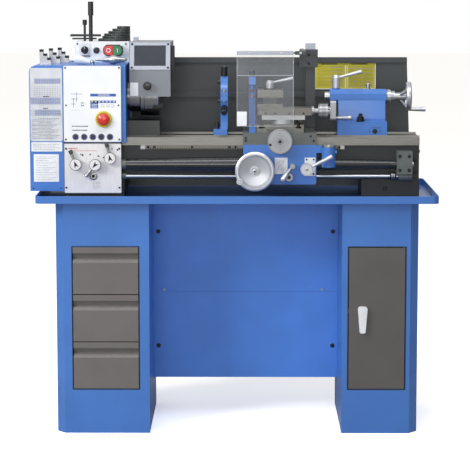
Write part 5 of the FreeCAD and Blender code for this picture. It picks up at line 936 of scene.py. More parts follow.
class LATHE_OT_dress_gearbox(bpy.types.Operator):
    """Fix the satin plate, the marks and the sight glass on the feed gearbox"""

    bl_idname = "lathe.dress_gearbox"
    bl_label = "Dress the feed gearbox"

    # Each lever's axis, and the angle in degrees that its pointer shows at rest.
    levers = {"left": (-518, 865, 112), "middle": (-455.7, 864, 230), "right": (-407.7, 885, 104)}

    def pointer(self, which):
        """A lever's rim and face, a dark ring of painted shadow round them, the arrow on the face and the
        ball at its end.
        """
        u, v, angle = self.levers[which]
        face = front_face(node_box(which + "_feed_lever")[0].y)
        a, arm = radians(angle), 36
        out = Vector((cos(a), 0, sin(a)))
        pointer = Shape("silver")
        pointer.turned(face.at(u, v, -1.4), face.out, [(0, 17.2), (1.2, 17.2), (1.9, 16.4), (1.9, 0)], 36)
        # Painted shadow: a dark ring just behind the face's edge, round the disc.
        pointer.use("oxide").turned(face.at(u, v, -1.8), face.out, [(0, 18.8), (1.2, 18.8), (1.2, 17)], 36)
        for spread in (2.5, -2.5):
            tip, tail, wing = [face.at(u + reach * cos(b), v + reach * sin(b), 0.8)
                               for reach, b in ((13, a), (-4, a), (12, a + spread))]
            pointer.patch([tip, tail, wing] if spread > 0 else [tip, wing, tail])
        pointer.use("bright" if which == "middle" else "gear")
        pointer.turned(face.at(u, v, -11) + out * arm, out, [
            (0, 5.2), (1, 5.9), (12, 6.6), (13.6, 5.4), (14, 0)], 20)
        pointer.finish(which + "_pointer", which + "_lever")

    def execute(self, context):
        t = trim_sizes(context)
        low, high = node_box("feed_gearbox")
        side, thick = front_face(low.y), t.plate
        left, right, bottom, top = low.x + 1, low.x + 184, low.z + 2, high.z - 1
        plate = Shape("silver")
        plate.plate(side, left, right, bottom, top, thick, 3)
        plate.use("oxide").screws(side, corners(left + 6, right - 6, bottom + 17, top - 16), t.panel_screw, 2,
                                  base=thick)
        sight = (left + 93, bottom + 54)
        plate.use("bright").turned(side.at(*sight, thick), side.out, [
            (0, 13), (1.4, 13), (2.2, 11.8), (2.2, 8.8), (0.8, 8.2), (0.8, 0)], 36)
        plate.use("oxide").hoop(side, *sight, 9.6, 10.6, thick + 2.3)
        plate.disc(side, *sight, 5.2, thick + 0.9)
        plate.finish("gearbox_plate", "stand")
        ink, lift = Shape("red"), thick + t.print_lift
        ink.writing(side, left + 14, left + 44, top - 17, 3, 12, lift)
        ink.tile(side, left + 14, left + 104, top - 23.5, top - 22.3, lift)
        ink.use("ink")
        u, v, _ = self.levers["middle"]
        for du, dv in ((-17, 32), (9, 27), (26, 22)):
            ink.disc(side, u + du, v + dv, 2.6, lift, 14)
        for u, v, radius in ((-503, 897, 2.0), (-497, 894.5, 3.4), (-385, 911, 3.0), (-413, 914, 2.2),
                             (-402, 914, 2.2), (-443, 889, 1.6)):
            ink.disc(side, u, v, radius, lift, 14)
        for k in range(6):
            ink.writing(side, left + 90, left + 118 - 3 * (k % 3), bottom + 34 - 4.4 * k, 0.8, 80 + k, lift)
        ink.finish("gearbox_marks", "stand")
        for which in self.levers:
            self.pointer(which)
        return {"FINISHED"}


class LATHE_OT_dress_controls(bpy.types.Operator):
    """Fix the screws, the bezel and the plates on the electrical box"""

    bl_idname = "lathe.dress_controls"
    bl_label = "Dress the electrical box"

    # The push-button station: both buttons' places and the height of their centres.
    red, green, level = -427, -401, 1221
    gear_teeth = (52, 45, 42, 35, 28, 20)

    def wrapped(self, outline, about):
        """An outline's points sorted round a place on the station's level."""
        return sorted(outline, key=lambda p: atan2(p[1] - self.level, p[0] - about))

    def bezel(self):
        """The station's rounded housing, open round each button."""
        face, depth, wall = front_face(107), 17.8, 2
        low, high, hole = 1202.5, 1239.5, 9.6
        first, last = self.red - hole, self.green + hole
        rim = rounded_box(-447, -381, low, high, 16, 6)
        bezel = Shape("bezel")
        for outline in ([p for p in rim if p[0] < first] + [(first, low), (first, high)],
                        [p for p in rim if p[0] > last] + [(last, high), (last, low)]):
            outline = self.wrapped(outline, sum(p[0] for p in outline) / len(outline))
            bezel.prism([face.at(u, v, -depth) for u, v in outline], face.out * (depth + wall), 1)
        for u0, u1, v0, v1 in ((first, last, self.level + hole, high), (first, last, low, self.level - hole),
                               (self.red + hole, self.green - hole, self.level - hole, self.level + hole)):
            bezel.block((u0, u1), (105, 124.8), (v0, v1), 0.4)
        bezel.finish("station_bezel", "stand")

    def button_cap(self, key, node, u, gap):
        """Half of a rounded cap, on a stem that stands on the button."""
        low, high = 1205, 1237
        face, inner = front_face(node_box(node)[0].y), (self.red + self.green) / 2 + gap
        outline = [p for p in rounded_box(-444, -384, low, high, 14, 6) if (p[0] - inner) * (u - inner) > 0]
        outline = self.wrapped(outline + [(inner, low), (inner, high)], u)
        cap = Shape(key)
        cap.turned(face.at(u, self.level, -0.4), face.out, [(0, 8.6), (1.9, 8.6)], 24)
        cap.prism([face.at(p, q, 1.5) for p, q in outline], face.out * 2, 0.8)
        cap.use("label")
        if u == self.red:
            cap.hoop(face, u - 2, self.level, 5.2, 7.4, 3.6, 24)
        else:
            cap.tile(face, u + 1, u + 3.2, self.level - 7, self.level + 7, 3.6)
        cap.finish(key + "_button_cap", key + "_button")

    def execute(self, context):
        t = trim_sizes(context)
        low, high = node_box("electrical_box")
        wall_y = 125
        wall = front_face(wall_y)
        trim = Shape("iron")
        switch_plate, switch_print = (-529, -489, 1196, 1246), (-526, -492, 1199, 1203.5)
        trim.screws(wall, corners(low.x + 8, -372, 1189, high.z - 8), t.panel_screw, 2)
        trim.use("label").plate(wall, *switch_plate, 2, 8, 0.5)
        trim.use("ink").tile(wall, *switch_print, 2.2)
        trim.use("plastic").turned((-470.4, wall_y, 1220.3), -Y, [
            (0, 10.5), (3, 10.5), (4, 9), (4, 7.6), (9, 7.6), (10.5, 6), (10.5, 0)], 28)
        trim.finish("control_trim", "stand")
        low, high = node_box("spare_gears")
        gear_thickness, module, largest = 8.2, 1, self.gear_teeth[0]
        middle = (low + high) / 2
        rims = Shape("iron")
        for k, teeth in enumerate(self.gear_teeth):
            tip = (teeth + 2) * module
            rims.turned((middle.x + largest - teeth, middle.y, low.z + gear_thickness * k), Z,
                        [(6.6, tip - 1), (6.6, tip + 0.25), (8.0, tip + 0.25), (8.0, tip - 1)], 56)
        rims.finish("spare_gear_rims", "stand")
        self.bezel()
        self.button_cap("red", "stop_button", self.red, -0.4)
        self.button_cap("green", "start_button", self.green, 0.4)
        front = node_box("selector_switch")[0].y
        bar = Shape("plastic")
        bar.block((-511.5, -506.5), (front - 2.5, front + 4), (1209, 1235), 1.2)
        bar.use("label").block((-509.8, -508.2), (front - 2.8, front), (1226, 1233), 0.2)
        bar.finish("selector_grip", "selector")
        return {"FINISHED"}


class LATHE_OT_dress_chuck(bpy.types.Operator):
    """Add key sockets and rings to the chuck, and dress the chuck guard"""

    bl_idname = "lathe.dress_chuck"
    bl_label = "Dress the chuck and guard"

    def execute(self, context):
        t = trim_sizes(context)
        low, high = node_box("chuck_body")
        mid = (low + high) / 2
        rings = Shape("oxide")
        rings.turned((high.x - 50, mid.y, mid.z), X, [(0, 62.7), (1.6, 62.7)], 96)
        for k in range(3):
            a = radians(60 + 120 * k)
            out = Vector((0, sin(a), cos(a)))
            rings.turned(Vector((high.x - 32, mid.y, mid.z)) + out * 62.4, out,
                         [(0, 6.4), (0.5, 6.4), (0.5, 4.6), (-3, 4.6), (-3, 0)], 20)
        rings.finish("chuck_rings", "chuck")
        low, high = node_box("chuck_guard")
        rise = Vector((0, 26, 87))
        left, right, span = low.x, high.x, round(rise.length, 1)
        slope = Face((0, low.y, high.z - rise.z), X, rise.normalized())
        trim = Shape("guard_frame")
        for u0, u1, v0, v1 in ((left + 1, left + 15, 0, span), (right - 15, right - 1, 0, span),
                               (left + 15, right - 15, 0, 13), (left + 15, right - 15, span - 10, span)):
            trim.plate(slope, u0, u1, v0, v1, 2, 0, 0.5)
        trim.block((left, left + 16), (120, 150), (1252, 1264), 1)
        trim.use("oxide").screws(slope, corners(left + 8, right - 8, 7, span - 6), t.panel_screw, 2, base=2)
        trim.use("bezel").block((right + 0.2, right + 13), (-66, -58), (1154, 1243), 1.2)
        trim.use("plastic").turned((-289, low.y, 1115), -Y, [
            (0, 8), (5, 8), (7, 12), (16, 13.5), (20, 11), (22, 0)], 28)
        trim.use("label").plate(front_face(low.y), left + 2, left + 28, 1082, 1125, t.plate, 2)
        trim.finish("guard_trim", "guard")
        pane = Shape("window")
        pane.plate(slope, left + 10, right - 10, 8, span - 6, 1.6, 0, 0, -1.8)
        pane.finish("guard_window", "guard")
        return {"FINISHED"}


# ---------------------------------------------------------------- bed, shafts and stand


class LATHE_OT_spiral_covers(bpy.types.Operator):
    """Wind the telescopic spiral bands that cover the leadscrew"""

    bl_idname = "lathe.spiral_covers"
    bl_label = "Wind the leadscrew covers"

    around, lap, end_room = 40, 1.5, 12
    # Shares of the band's width at which its section bends.
    section = (0.0, 0.25, 0.6, 1.0)

    def wind(self, bands, pitch, start, end, first, last, y, z):
        """One cover from start to end, its radius changing from first to last."""
        turns = int((end - start - self.end_room) / pitch)
        pitch = (end - start - self.end_room) / (turns + 1)
        rows = []
        for k in range(turns * self.around + 1):
            a = 2 * pi * k / self.around
            x = start + self.end_room / 2 + pitch * k / self.around
            row = []
            for share in self.section:
                along = x + share * pitch
                radius = first + (last - first) * (along - start) / (end - start) + self.lap * (1 - share)
                row.append(bands.bm.verts.new((along, y + radius * cos(a), z + radius * sin(a))))
            rows.append(row)
        for k, (row, after) in enumerate(zip(rows, rows[1:])):
            for j in range(len(self.section) - 1):
                bands.mark([bands.bm.faces.new((row[j], after[j], after[j + 1], row[j + 1]))], True)
            if k + self.around < len(rows) - 1:
                bands.mark([bands.bm.faces.new((row[-1], after[-1], rows[k + self.around + 1][0],
                                                rows[k + self.around][0]))])
        inner, width = min(first, last) - self.lap, pitch + 6.2
        for x, radius in ((start, first + 0.2), (end - width, last)):
            bands.turned((x, y, z), X, [
                (0, inner), (0, radius), (width, radius), (width, inner)], self.around)

    def execute(self, context):
        pitch = trim_sizes(context).spiral_pitch
        low, high = node_box("leadscrew_covers")
        saddle_low, saddle_high = node_box("saddle")
        y, z, gap = (low.y + high.y) / 2, (low.z + high.z) / 2, 0.4
        bands = Shape("gloss")
        self.wind(bands, pitch, low.x, saddle_low.x - gap, 17.5, 24.4, y, z)
        self.wind(bands, pitch, saddle_high.x + gap, high.x, 18, 12.2, y, z)
        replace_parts(bands.finish("spiral_covers", "stand"), "leadscrew_covers")
        return {"FINISHED"}


class LATHE_OT_dress_bed(bpy.types.Operator):
    """Fix the rack screws, the bracket's socket screws and the bed's end screws"""

    bl_idname = "lathe.dress_bed"
    bl_label = "Dress the bed"

    def execute(self, context):
        screws = Shape("oxide")
        low, high = node_box("feed_rack")
        rack = [(u, high.z - 5.5) for u in (-288, -268, -146, -25, -5, 110, 230, 330)]
        screws.screws(front_face(low.y), rack, 4.3, 3, "plastic")
        low, high = node_box("end_bracket")
        bracket = corners(low.x + 9, high.x - 11, high.z - 15, high.z - 60)
        screws.screws(front_face(low.y), bracket, 5.4, 2, "plastic")
        screws.screws(front_face(high.y), ((577, 871), (577, 835)), 5, 5, "plastic")
        low, high = node_box("bed")
        screws.screws(right_face(high.x), ((-60, 900), (60, 900), (-60, 780), (60, 780)), 5, 4, "plastic")
        screws.screws(top_face(812), ((420, -86), (560, -86)), 4.4, 4, "plastic")
        screws.screws(front_face(low.y), ((478, 783),), 7, 5, "plastic")
        screws.finish("bed_screws", "stand")
        low, high = node_box("feed_rod")
        half = (high.y - low.y) / 2 + 0.4
        neck = half - 0.8
        collar = Shape("oxide")
        collar.turned((493, (low.y + high.y) / 2, (low.z + high.z) / 2), X, [
            (0, half - 2), (0, half), (5, half), (5.6, neck), (7, neck), (7.6, half), (12, half),
            (12.6, neck), (14, neck), (14.6, half), (20, half), (20, half - 2)], 32)
        collar.finish("feed_rod_collar", "feed_shaft")
        ends = Shape("bright")
        for span in ((-313, -297), (333, 347)):
            ends.block(span, (-94.5, -91.8), (909.5, 921.5), 0.6)
        ends.finish("rack_ends", "stand")
        return {"FINISHED"}


class LATHE_OT_dress_stand(bpy.types.Operator):
    """Fix the information plate and the sheet screws on the stand"""

    bl_idname = "lathe.dress_stand"
    bl_label = "Dress the stand"

    def information_plate(self, t, splash):
        """The yellow plate: white rims and fold, two columns of rows too small to read."""
        left, right, bottom, top = 262, 470, 1084, 1173
        fold_left, fold_right, thick = 362, 380, 1.2
        lift = thick + t.print_lift
        plate = Shape("yellow")
        plate.plate(splash, left, right, bottom, top, thick, 2)
        plate.use("label")
        for u0, u1, v0, v1 in ((366, 368.5, bottom, top - 8), (372.5, 374.5, bottom, top - 8),
                               (left, left + 3, bottom, top - 6), (right - 3, right, bottom, top - 2),
                               (left, right, bottom, bottom + 2.5)):
            plate.tile(splash, u0, u1, v0, v1, lift)
        plate.use("ink_pale")
        for k in range(5):
            v = top - 15 - 15 * k
            plate.tile(splash, left + 50 - 20 * (k == 2), fold_left, v, v + 1.2, lift)
            plate.tile(splash, fold_right, right - 8, v - 4, v - 2.8, lift)
        plate.use("oxide")
        for u0, u1 in ((left + 22, left + 76), (386, 442)):
            plate.tile(splash, u0, u1, top - 5, top - 1.5, lift)
        for k in range(15):
            v = top - 12 - 4.6 * k
            plate.writing(splash, left + 12, fold_left - 2, v, 0.7, 90 + 3 * k, lift)
            plate.writing(splash, fold_right, right - 10, v, 0.7, 200 + 5 * k, lift)
        plate.finish("information_plate", "stand")

    def joint_shade_lines(self, t):
        """The dark gaps round the drawers and the door, drawn as strips of painted shade beside them."""
        lines, gap, width = Shape("bezel"), 2.1, 2.2
        for cabinet, lowest, highest in (("left_cabinet", "bottom_drawer", "top_drawer"),
                                         ("right_cabinet", "cabinet_door", "cabinet_door")):
            face = front_face(node_box(cabinet)[0].y)
            (u0, _, v0), (u1, _, v1) = node_box(lowest)[0], node_box(highest)[1]
            u0, u1, v0, v1 = u0 - gap, u1 + gap, v0 - gap, v1 + gap
            left, right, bottom, top = u0 - width, u1 + width, v0 - width, v1 + width
            # Each strip is painted shade along one side of a gap.
            for strip in ((left, u0, bottom, top), (u1, right, bottom, top), (u0, u1, bottom, v0),
                          (u0, u1, v1, top)):
                lines.tile(face, *strip, t.print_lift)
        lines.finish("cabinet_joint_shade_lines", "stand")

    def execute(self, context):
        t = trim_sizes(context)
        splash = front_face(238)
        self.information_plate(t, splash)
        low, high = node_box("centre_panels")
        sheet, inset = front_face(low.y), 16
        trim = Shape("bright")
        trim.screws(sheet, ((-246, 420), (284, 420)), 4.4, 2.5)
        trim.use("oxide").screws(sheet, corners(low.x + inset, high.x - inset, 229, 617), 7.2, 2.4, "plastic")
        trim.finish("panel_screws", "stand")
        self.joint_shade_lines(t)
        hem = Shape("oxide")
        hem.screws(splash, [(u, 800) for u in (-500, -160, 160, 500)], 4.2, 3, "plastic")
        hem.finish("splash_screws", "stand")
        return {"FINISHED"}


# ---------------------------------------------------------------- carriage and slides


class LATHE_OT_dress_carriage(bpy.types.Operator):
    """Fix the plates, screws and dials on the apron, and the hub of its handwheel"""

    bl_idname = "lathe.dress_carriage"
    bl_label = "Dress the carriage"

    def execute(self, context):
        t = trim_sizes(context)
        apron, thick = front_face(node_box("saddle")[0].y), 1.2
        lift = thick + t.print_lift
        chart, lever_plate = (121, 162, 834, 887), (217, 252, 828, 887)
        trim = Shape("label")
        for spread in (chart, lever_plate):
            trim.plate(apron, *spread, thick, 1.5)
        trim.use("ink_pale")
        trim.strip(apron, ((130, 842), (134, 858), (146, 866), (150, 880)), 1, lift)
        trim.strip(apron, ((126, 862), (140, 878), (156, 870)), 1, lift)
        trim.hoop(apron, 146, 850, 4, 5, lift, 20)
        lever_screws = ((246, 881), (246, 834), (223, 881), (223, 834))
        saddle_screws = ((28, 941), (245, 941), (28, 950), (236, 956))
        trim.use("oxide").screws(apron, lever_screws, 3, 1.6, base=thick)
        trim.screws(apron, saddle_screws, 3.4, 2, "plastic")
        boss = (167, 823)
        trim.use("bright").turned(apron.at(*boss), apron.out, [
            (0, 13), (3, 13), (4, 11.8), (4, 6.6), (-0.5, 6.2)], 32)
        trim.use("plastic").disc(apron, *boss, 6.4, 0.6)
        thread_dial = (293, -154, 926)
        trim.use("bright").turned(thread_dial, Z, [
            (-3, 22.6), (1, 22.6), (2.4, 21), (2.4, 6), (3.6, 5), (3.6, 0)], 40)
        trim.use("blue").turned((314, -154, 905), X, [(0, 7), (4, 7), (6, 5), (6, 0)], 24)
        trim.use("oxide").ruler(thread_dial, -Z, 22.7, -0.8, 3.4, 36, 0.5, 6)
        trim.finish("apron_trim", "carriage")
        low, high = node_box("feed_engage_lever")
        a, reach = radians(234), 44
        out = Vector((cos(a), 0, sin(a)))
        ball = Shape("lever_chrome")
        ball.turned(Vector((178, low.y + 7.2, high.z - 8)) + out * reach, out, [
            (-12, 7.4), (-4, 8.2), (4, 9.4), (9, 9.8), (13, 8.4), (15.5, 5), (16.5, 0)], 28)
        ball.finish("engage_lever_ball", "engage_lever")
        face, axis = front_face(-163.3), (57, 845)
        hub = Shape("oxide")
        hub.hoop(face, *axis, 9.2, 10.4, 0.2)
        hub.use("bright").screws(face, (axis,), 6.4, 3.4, "plastic")
        hub.use("oxide").hoop(front_face(node_box("carriage_handwheel")[0].y), 8, 817.9, 4.6, 5.6, 0.2, 24)
        hub.finish("wheel_hub", "carriage_wheel")
        face, axis = front_face(node_box("half_nut_lever")[0].y), (222, 854)
        disc = Shape("oxide")
        disc.hoop(face, *axis, 17.6, 18.4, 0.2)
        disc.use("bright").screws(face, (axis,), 4.2, 1.6, "plastic")
        disc.finish("half_nut_disc_trim", "nut_lever")
        return {"FINISHED"}


class LATHE_OT_dress_slides(bpy.types.Operator):
    """Fix screws, dials and graduations on the cross slide, the compound and the tool post"""

    bl_idname = "lathe.dress_slides"
    bl_label = "Dress the slides"

    def cross_wheel(self, fine):
        """The wheel's pattern of nested squares, a dark disc of painted shade for a threaded hole, and the
        graduations of its dial.
        """
        low, high = node_box("cross_feed_dial")
        face, u, v = front_face(low.y), (low.x + high.x) / 2, (low.z + high.z) / 2
        dial = Shape("oxide")
        dial.hoop(face, u, v, 36.4, 37.0, 0.2, 60)
        dial.tile(Face(face.at(u, v), (X + Z).normalized(), (Z - X).normalized()), -4.4, 4.4, -4.4, 4.4, 0.3)
        bold, thin = 0.7, 0.25
        for reach, line in ((9, bold), (11.5, bold), *((step, thin) for step in range(15, 32, 4))):
            square = [(u, v + reach), (u + reach, v), (u, v - reach), (u - reach, v), (u, v + reach)]
            dial.strip(face, square, line, 0.2)
        # Painted shade: a dark disc stands for the threaded hole low on the wheel's left.
        dial.disc(face, u - 31, v - 10, 4.2, 0.25, 20)
        dial.ruler((u, -141, v), -Y, 23.1, 16, 6, 60, fine)
        dial.finish("cross_dial_marks", "cross_wheel")

    def slide_screws(self):
        """The gib screws along the cross slide and the compound."""
        low, high = node_box("cross_slide")
        screws = Shape("oxide")
        for w in (-110, -60, -10, 40):
            screws.screws(right_face(high.x), ((w, 979),), 3.2, 2, "plastic")
            screws.screws(left_face(low.x), ((-w, 979),), 3.2, 2, "plastic")
        screws.finish("cross_gib_screws", "cross")
        gib = Shape("oxide")
        row = [(u, 1027) for u in (92, 122, 168, 214)]
        gib.screws(front_face(node_box("top_slide")[0].y), row, 3.2, 1.6, "plastic")
        gib.finish("compound_gib_screws", "compound")

    def crank(self, fine):
        """The crank's dial, its knurled rings, its grub screws and the cap of its ball."""
        axis = Vector((240.3, -75, 1032))
        crank = Shape("oxide")
        crank.ruler(axis, X, 24.1, 22.4, 9, 80, fine)
        for x in (33, 36, 39, 42, 45):
            crank.turned(axis + X * x, X, [(0, 24.15), (0.7, 24.15)], 60)
        for k in range(3):
            a = 2 * pi * k / 3 + 0.4
            out = Vector((0, -cos(a), sin(a)))
            crank.turned(axis + X * 56.5 + out * 15.1, out, [(0, 3.2), (0, 0)], 16)
        crank.use("bright").turned((358.6, axis.y, 1010), X, [(0, 7.5), (10, 8), (12, 6), (12.6, 0)], 24)
        crank.finish("crank_marks", "crank")

    def tool_post(self):
        """The post's eight square clamp screws, a dark skin on its core that paints the shade in the tool
        slot, and the washer under its lever.
        """
        low, high = node_box("tool_post")
        centre = (low + high) / 2
        bolts, half, core = Shape("oxide"), 4.3, 22.4
        inset, spread = 32, 18.45
        for dx, dy in ((-spread, -inset), (spread, -inset), (-spread, inset), (spread, inset),
                       (-inset, -spread), (-inset, spread), (inset, -spread), (inset, spread)):
            x, y = centre.x + dx, centre.y + dy
            bolts.block((x - half, x + half), (y - half, y + half), (high.z - 6.5, high.z + 0.3), 0.7)
        # Painted shade: a dark skin round the core, within the tool slot.
        bolts.use("gear").block((centre.x - core, centre.x + core), (centre.y - core, centre.y + core),
                                (low.z + 12.3, low.z + 31.7))
        bolts.finish("tool_post_bolts_and_slot_shade", "turret")
        washer = Shape("oxide")
        washer.turned((centre.x, centre.y, 1102.7), Z, [(0, 13.6), (2.4, 13.6), (3, 13.1)], 36)
        washer.finish("tool_post_washer", "turret_lock")

    def execute(self, context):
        fine = trim_sizes(context).dial_line
        self.cross_wheel(fine)
        self.slide_screws()
        scale = Shape("oxide")
        scale.ruler((150, -75, 1006.3), Z, 38.15, 3, 6, 72, fine, 6)
        scale.finish("swivel_scale", "swivel")
        self.crank(fine)
        self.tool_post()
        return {"FINISHED"}


class LATHE_OT_dress_shield(bpy.types.Operator):
    """Fix the bar, the painted highlights on the edges and the fold, and the blank label on the clear shield
    """

    bl_idname = "lathe.dress_shield"
    bl_label = "Dress the clear shield"

    def execute(self, context):
        low, high = node_box("tool_shield")
        proud, width, fold = 0.2, 1.6, 1150
        bar = Shape("guard_frame")
        bar.block((low.x - 0.3, high.x - 0.5), (low.y - 0.4, high.y + 0.4), (high.z - 12.4, high.z + 0.3), 1)
        ends = ((42, high.z - 6), (142, high.z - 6))
        bar.use("label").screws(front_face(low.y - 0.4), ends, 3.6, 1.6, "ink")
        blank_label = (low.x + 0.5, low.x + 32, low.z + 2, low.z + 48)
        bar.plate(front_face(low.y + 6), *blank_label, 0.8, 1.5)
        bar.finish("shield_bar", "shield")
        # Painted highlights: pale strips along the sheet's sides, its bottom and its fold.
        rim, sides = Shape("edge"), ((low.x, low.x + width), (high.x - width, high.x))
        spans = [(*side, low.z, fold) for side in sides]
        spans += [(low.x, high.x, low.z, low.z + width), (low.x, high.x, fold - 1.4, fold + 1.4)]
        for u0, u1, v0, v1 in spans:
            rim.block((u0 - proud, u1 + proud), (low.y + 5.7, low.y + 8.8), (v0 - proud, v1 + proud))
        slope = Face((0, low.y + 6, fold), X, Vector((0, 7, 65)).normalized())
        for u0, u1 in sides:
            rim.plate(slope, u0 - proud, u1 + proud, 1, 64, 3, 0, 0, -2.7)
        rim.finish("shield_edge_highlights", "shield")
        low, high = node_box("shield_post")
        post = Shape("guard_frame")
        post.block((225.5, 258.5), (79.5, 96.5), (high.z - 20, high.z + 0.5), 1.4)
        post.use("label").screws(front_face(low.y), ((202.5, 1222),), 3.6, 1.6, "ink")
        post.use("oxide").screws(front_face(68), ((236, 1180), (236, 1208)), 4, 3, "plastic")
        post.finish("shield_post_trim", "cross")
        return {"FINISHED"}


class LATHE_OT_dress_rests(bpy.types.Operator):
    """Fit knobs, finger tips and screws to the steady rest and the follow rest"""

    bl_idname = "lathe.dress_rests"
    bl_label = "Dress the steady and follow rests"

    def knob(self, shape, at, out, start, length):
        """A knurled knob shell over the finger's end."""
        ribs, base = 24, Vector(at) + out * start
        shape.use("plastic").turned(base, out, [
            (0, 9.3), (0.5, 10), (length - 1.5, 10), (length + 0.4, 8.6), (length + 0.4, 0)], ribs)
        shape.use("oxide").ruler(base, out, 10.1, 1.5, length - 4, ribs, 1.1, 1)

    def tip(self, shape, at, out, length):
        """A bronze finger tip that points at the work."""
        shape.use("bronze").turned(at + out * 13.7, out, [(0, 0), (0, 5.6), (0.8, 6.2), (length, 6.2)], 24)

    def execute(self, context):
        low, high = node_box("steady_arm")
        height = node_middle("chuck_body").z
        axis = Vector(((low.x + high.x) / 2, 0, height))
        for body, angles, small_knob in (("steady", (-120, 120), (-60, 1063.7)),
                                         ("steady_top", (0,), (-40, 1124.6))):
            trim = Shape()
            for angle in angles:
                out = Vector((0, sin(radians(angle)), cos(radians(angle))))
                self.knob(trim, axis, out, 66, 32)
                self.tip(trim, axis, out, 11)
            if body == "steady":
                trim.use("bright").turned((axis.x, -70, 1062), Z, [
                    (0, 3.4), (30, 3.4), (30, 5.6), (40, 5.6), (41, 4)], 20)
                trim.use("plastic").turned((-66, -40, 972), Z, [
                    (0, 9), (12, 9), (13, 7), (22, 7), (22, 0)], 6)
            trim.use("plastic").turned((low.x, *small_knob), -X, [
                (0, 4), (2, 4), (2, 6), (9, 6), (10, 4.6), (10, 0)], 24)
            trim.finish(body + "_trim", body)
        x = node_middle("follow_rest").x
        axis = Vector((x, 0, height))
        follow = Shape()
        self.knob(follow, (x, 0, 0), Z, 1140, 20)
        self.knob(follow, axis, Y, 82, 20)
        self.tip(follow, axis, Z, 10)
        self.tip(follow, axis, Y, 10)
        follow.use("oxide").screws(top_face(985), ((x, -98),), 5, 4, "plastic")
        follow.finish("follow_rest_trim", "carriage")
        return {"FINISHED"}


class LATHE_OT_dress_tailstock(bpy.types.Operator):
    """Fit the clamp nut, the set-over screw, the oil cup and the dial marks to the tailstock"""

    bl_idname = "lathe.dress_tailstock"
    bl_label = "Dress the tailstock"

    def execute(self, context):
        t = trim_sizes(context)
        low, high = node_box("tailstock_body")
        height = node_middle("quill").z
        base, clamp = top_face(996), (401, -43.4)
        trim = Shape("oxide")
        trim.turned(base.at(*clamp), Z, [(0, 14), (3, 14), (3, 9)], 32)
        trim.turned(base.at(*clamp, 3), Z, [(0, 11), (12, 11), (13, 9.5), (13, 6), (23, 6), (24, 0)], 6)
        front, end = front_face(low.y), right_face(high.x)
        trim.screws(front, ((447, 965),), 7.6, 3, "plastic")
        trim.tile(front, 434, 470, 975.4, 976.4, t.print_lift)
        for u in (430, 466):
            trim.disc(front, u, 965, 2, t.print_lift, 14)
        for k in range(9):
            trim.tile(end, -16 + 4 * k, -15.5 + 4 * k, 976, 984, t.print_lift)
        trim.use("bright").turned((428, 0, 1099), Z, [
            (0, 5.5), (3, 5.5), (3, 7.5), (17, 7.5), (19, 6), (19, 0)], 28)
        trim.finish("tailstock_trim", "tailstock")
        dial = Vector((high.x + 0.3, 0, height))
        marks = Shape("tail_chrome")
        marks.turned(dial, X, [(0.2, 18), (0.2, 21.6), (1, 22.6), (13, 22.6), (14, 21.6), (14, 18)], 60)
        marks.use("oxide").ruler(dial, X, 22.7, 1.2, 8, 60, t.dial_line)
        for x in (17, 20, 23):
            marks.turned(dial + X * x, X, [(0, 18.15), (0.7, 18.15)], 48)
        marks.finish("tail_dial_marks", "tail_wheel")
        nose = Shape("oxide")
        nose.ruler((304, 0, height), X, 15.02, 0, 0.4, 2, 6, 1)
        nose.finish("quill_marks", "tail_quill")
        return {"FINISHED"}


# ---------------------------------------------------------------- stage


def ray_from_eye(w):
    """1 for rays that come straight from the camera or through glass."""
    path = w.add("ShaderNodeLightPath").outputs
    return w.math("MAXIMUM", path["Is Camera Ray"], path["Is Transmission Ray"])


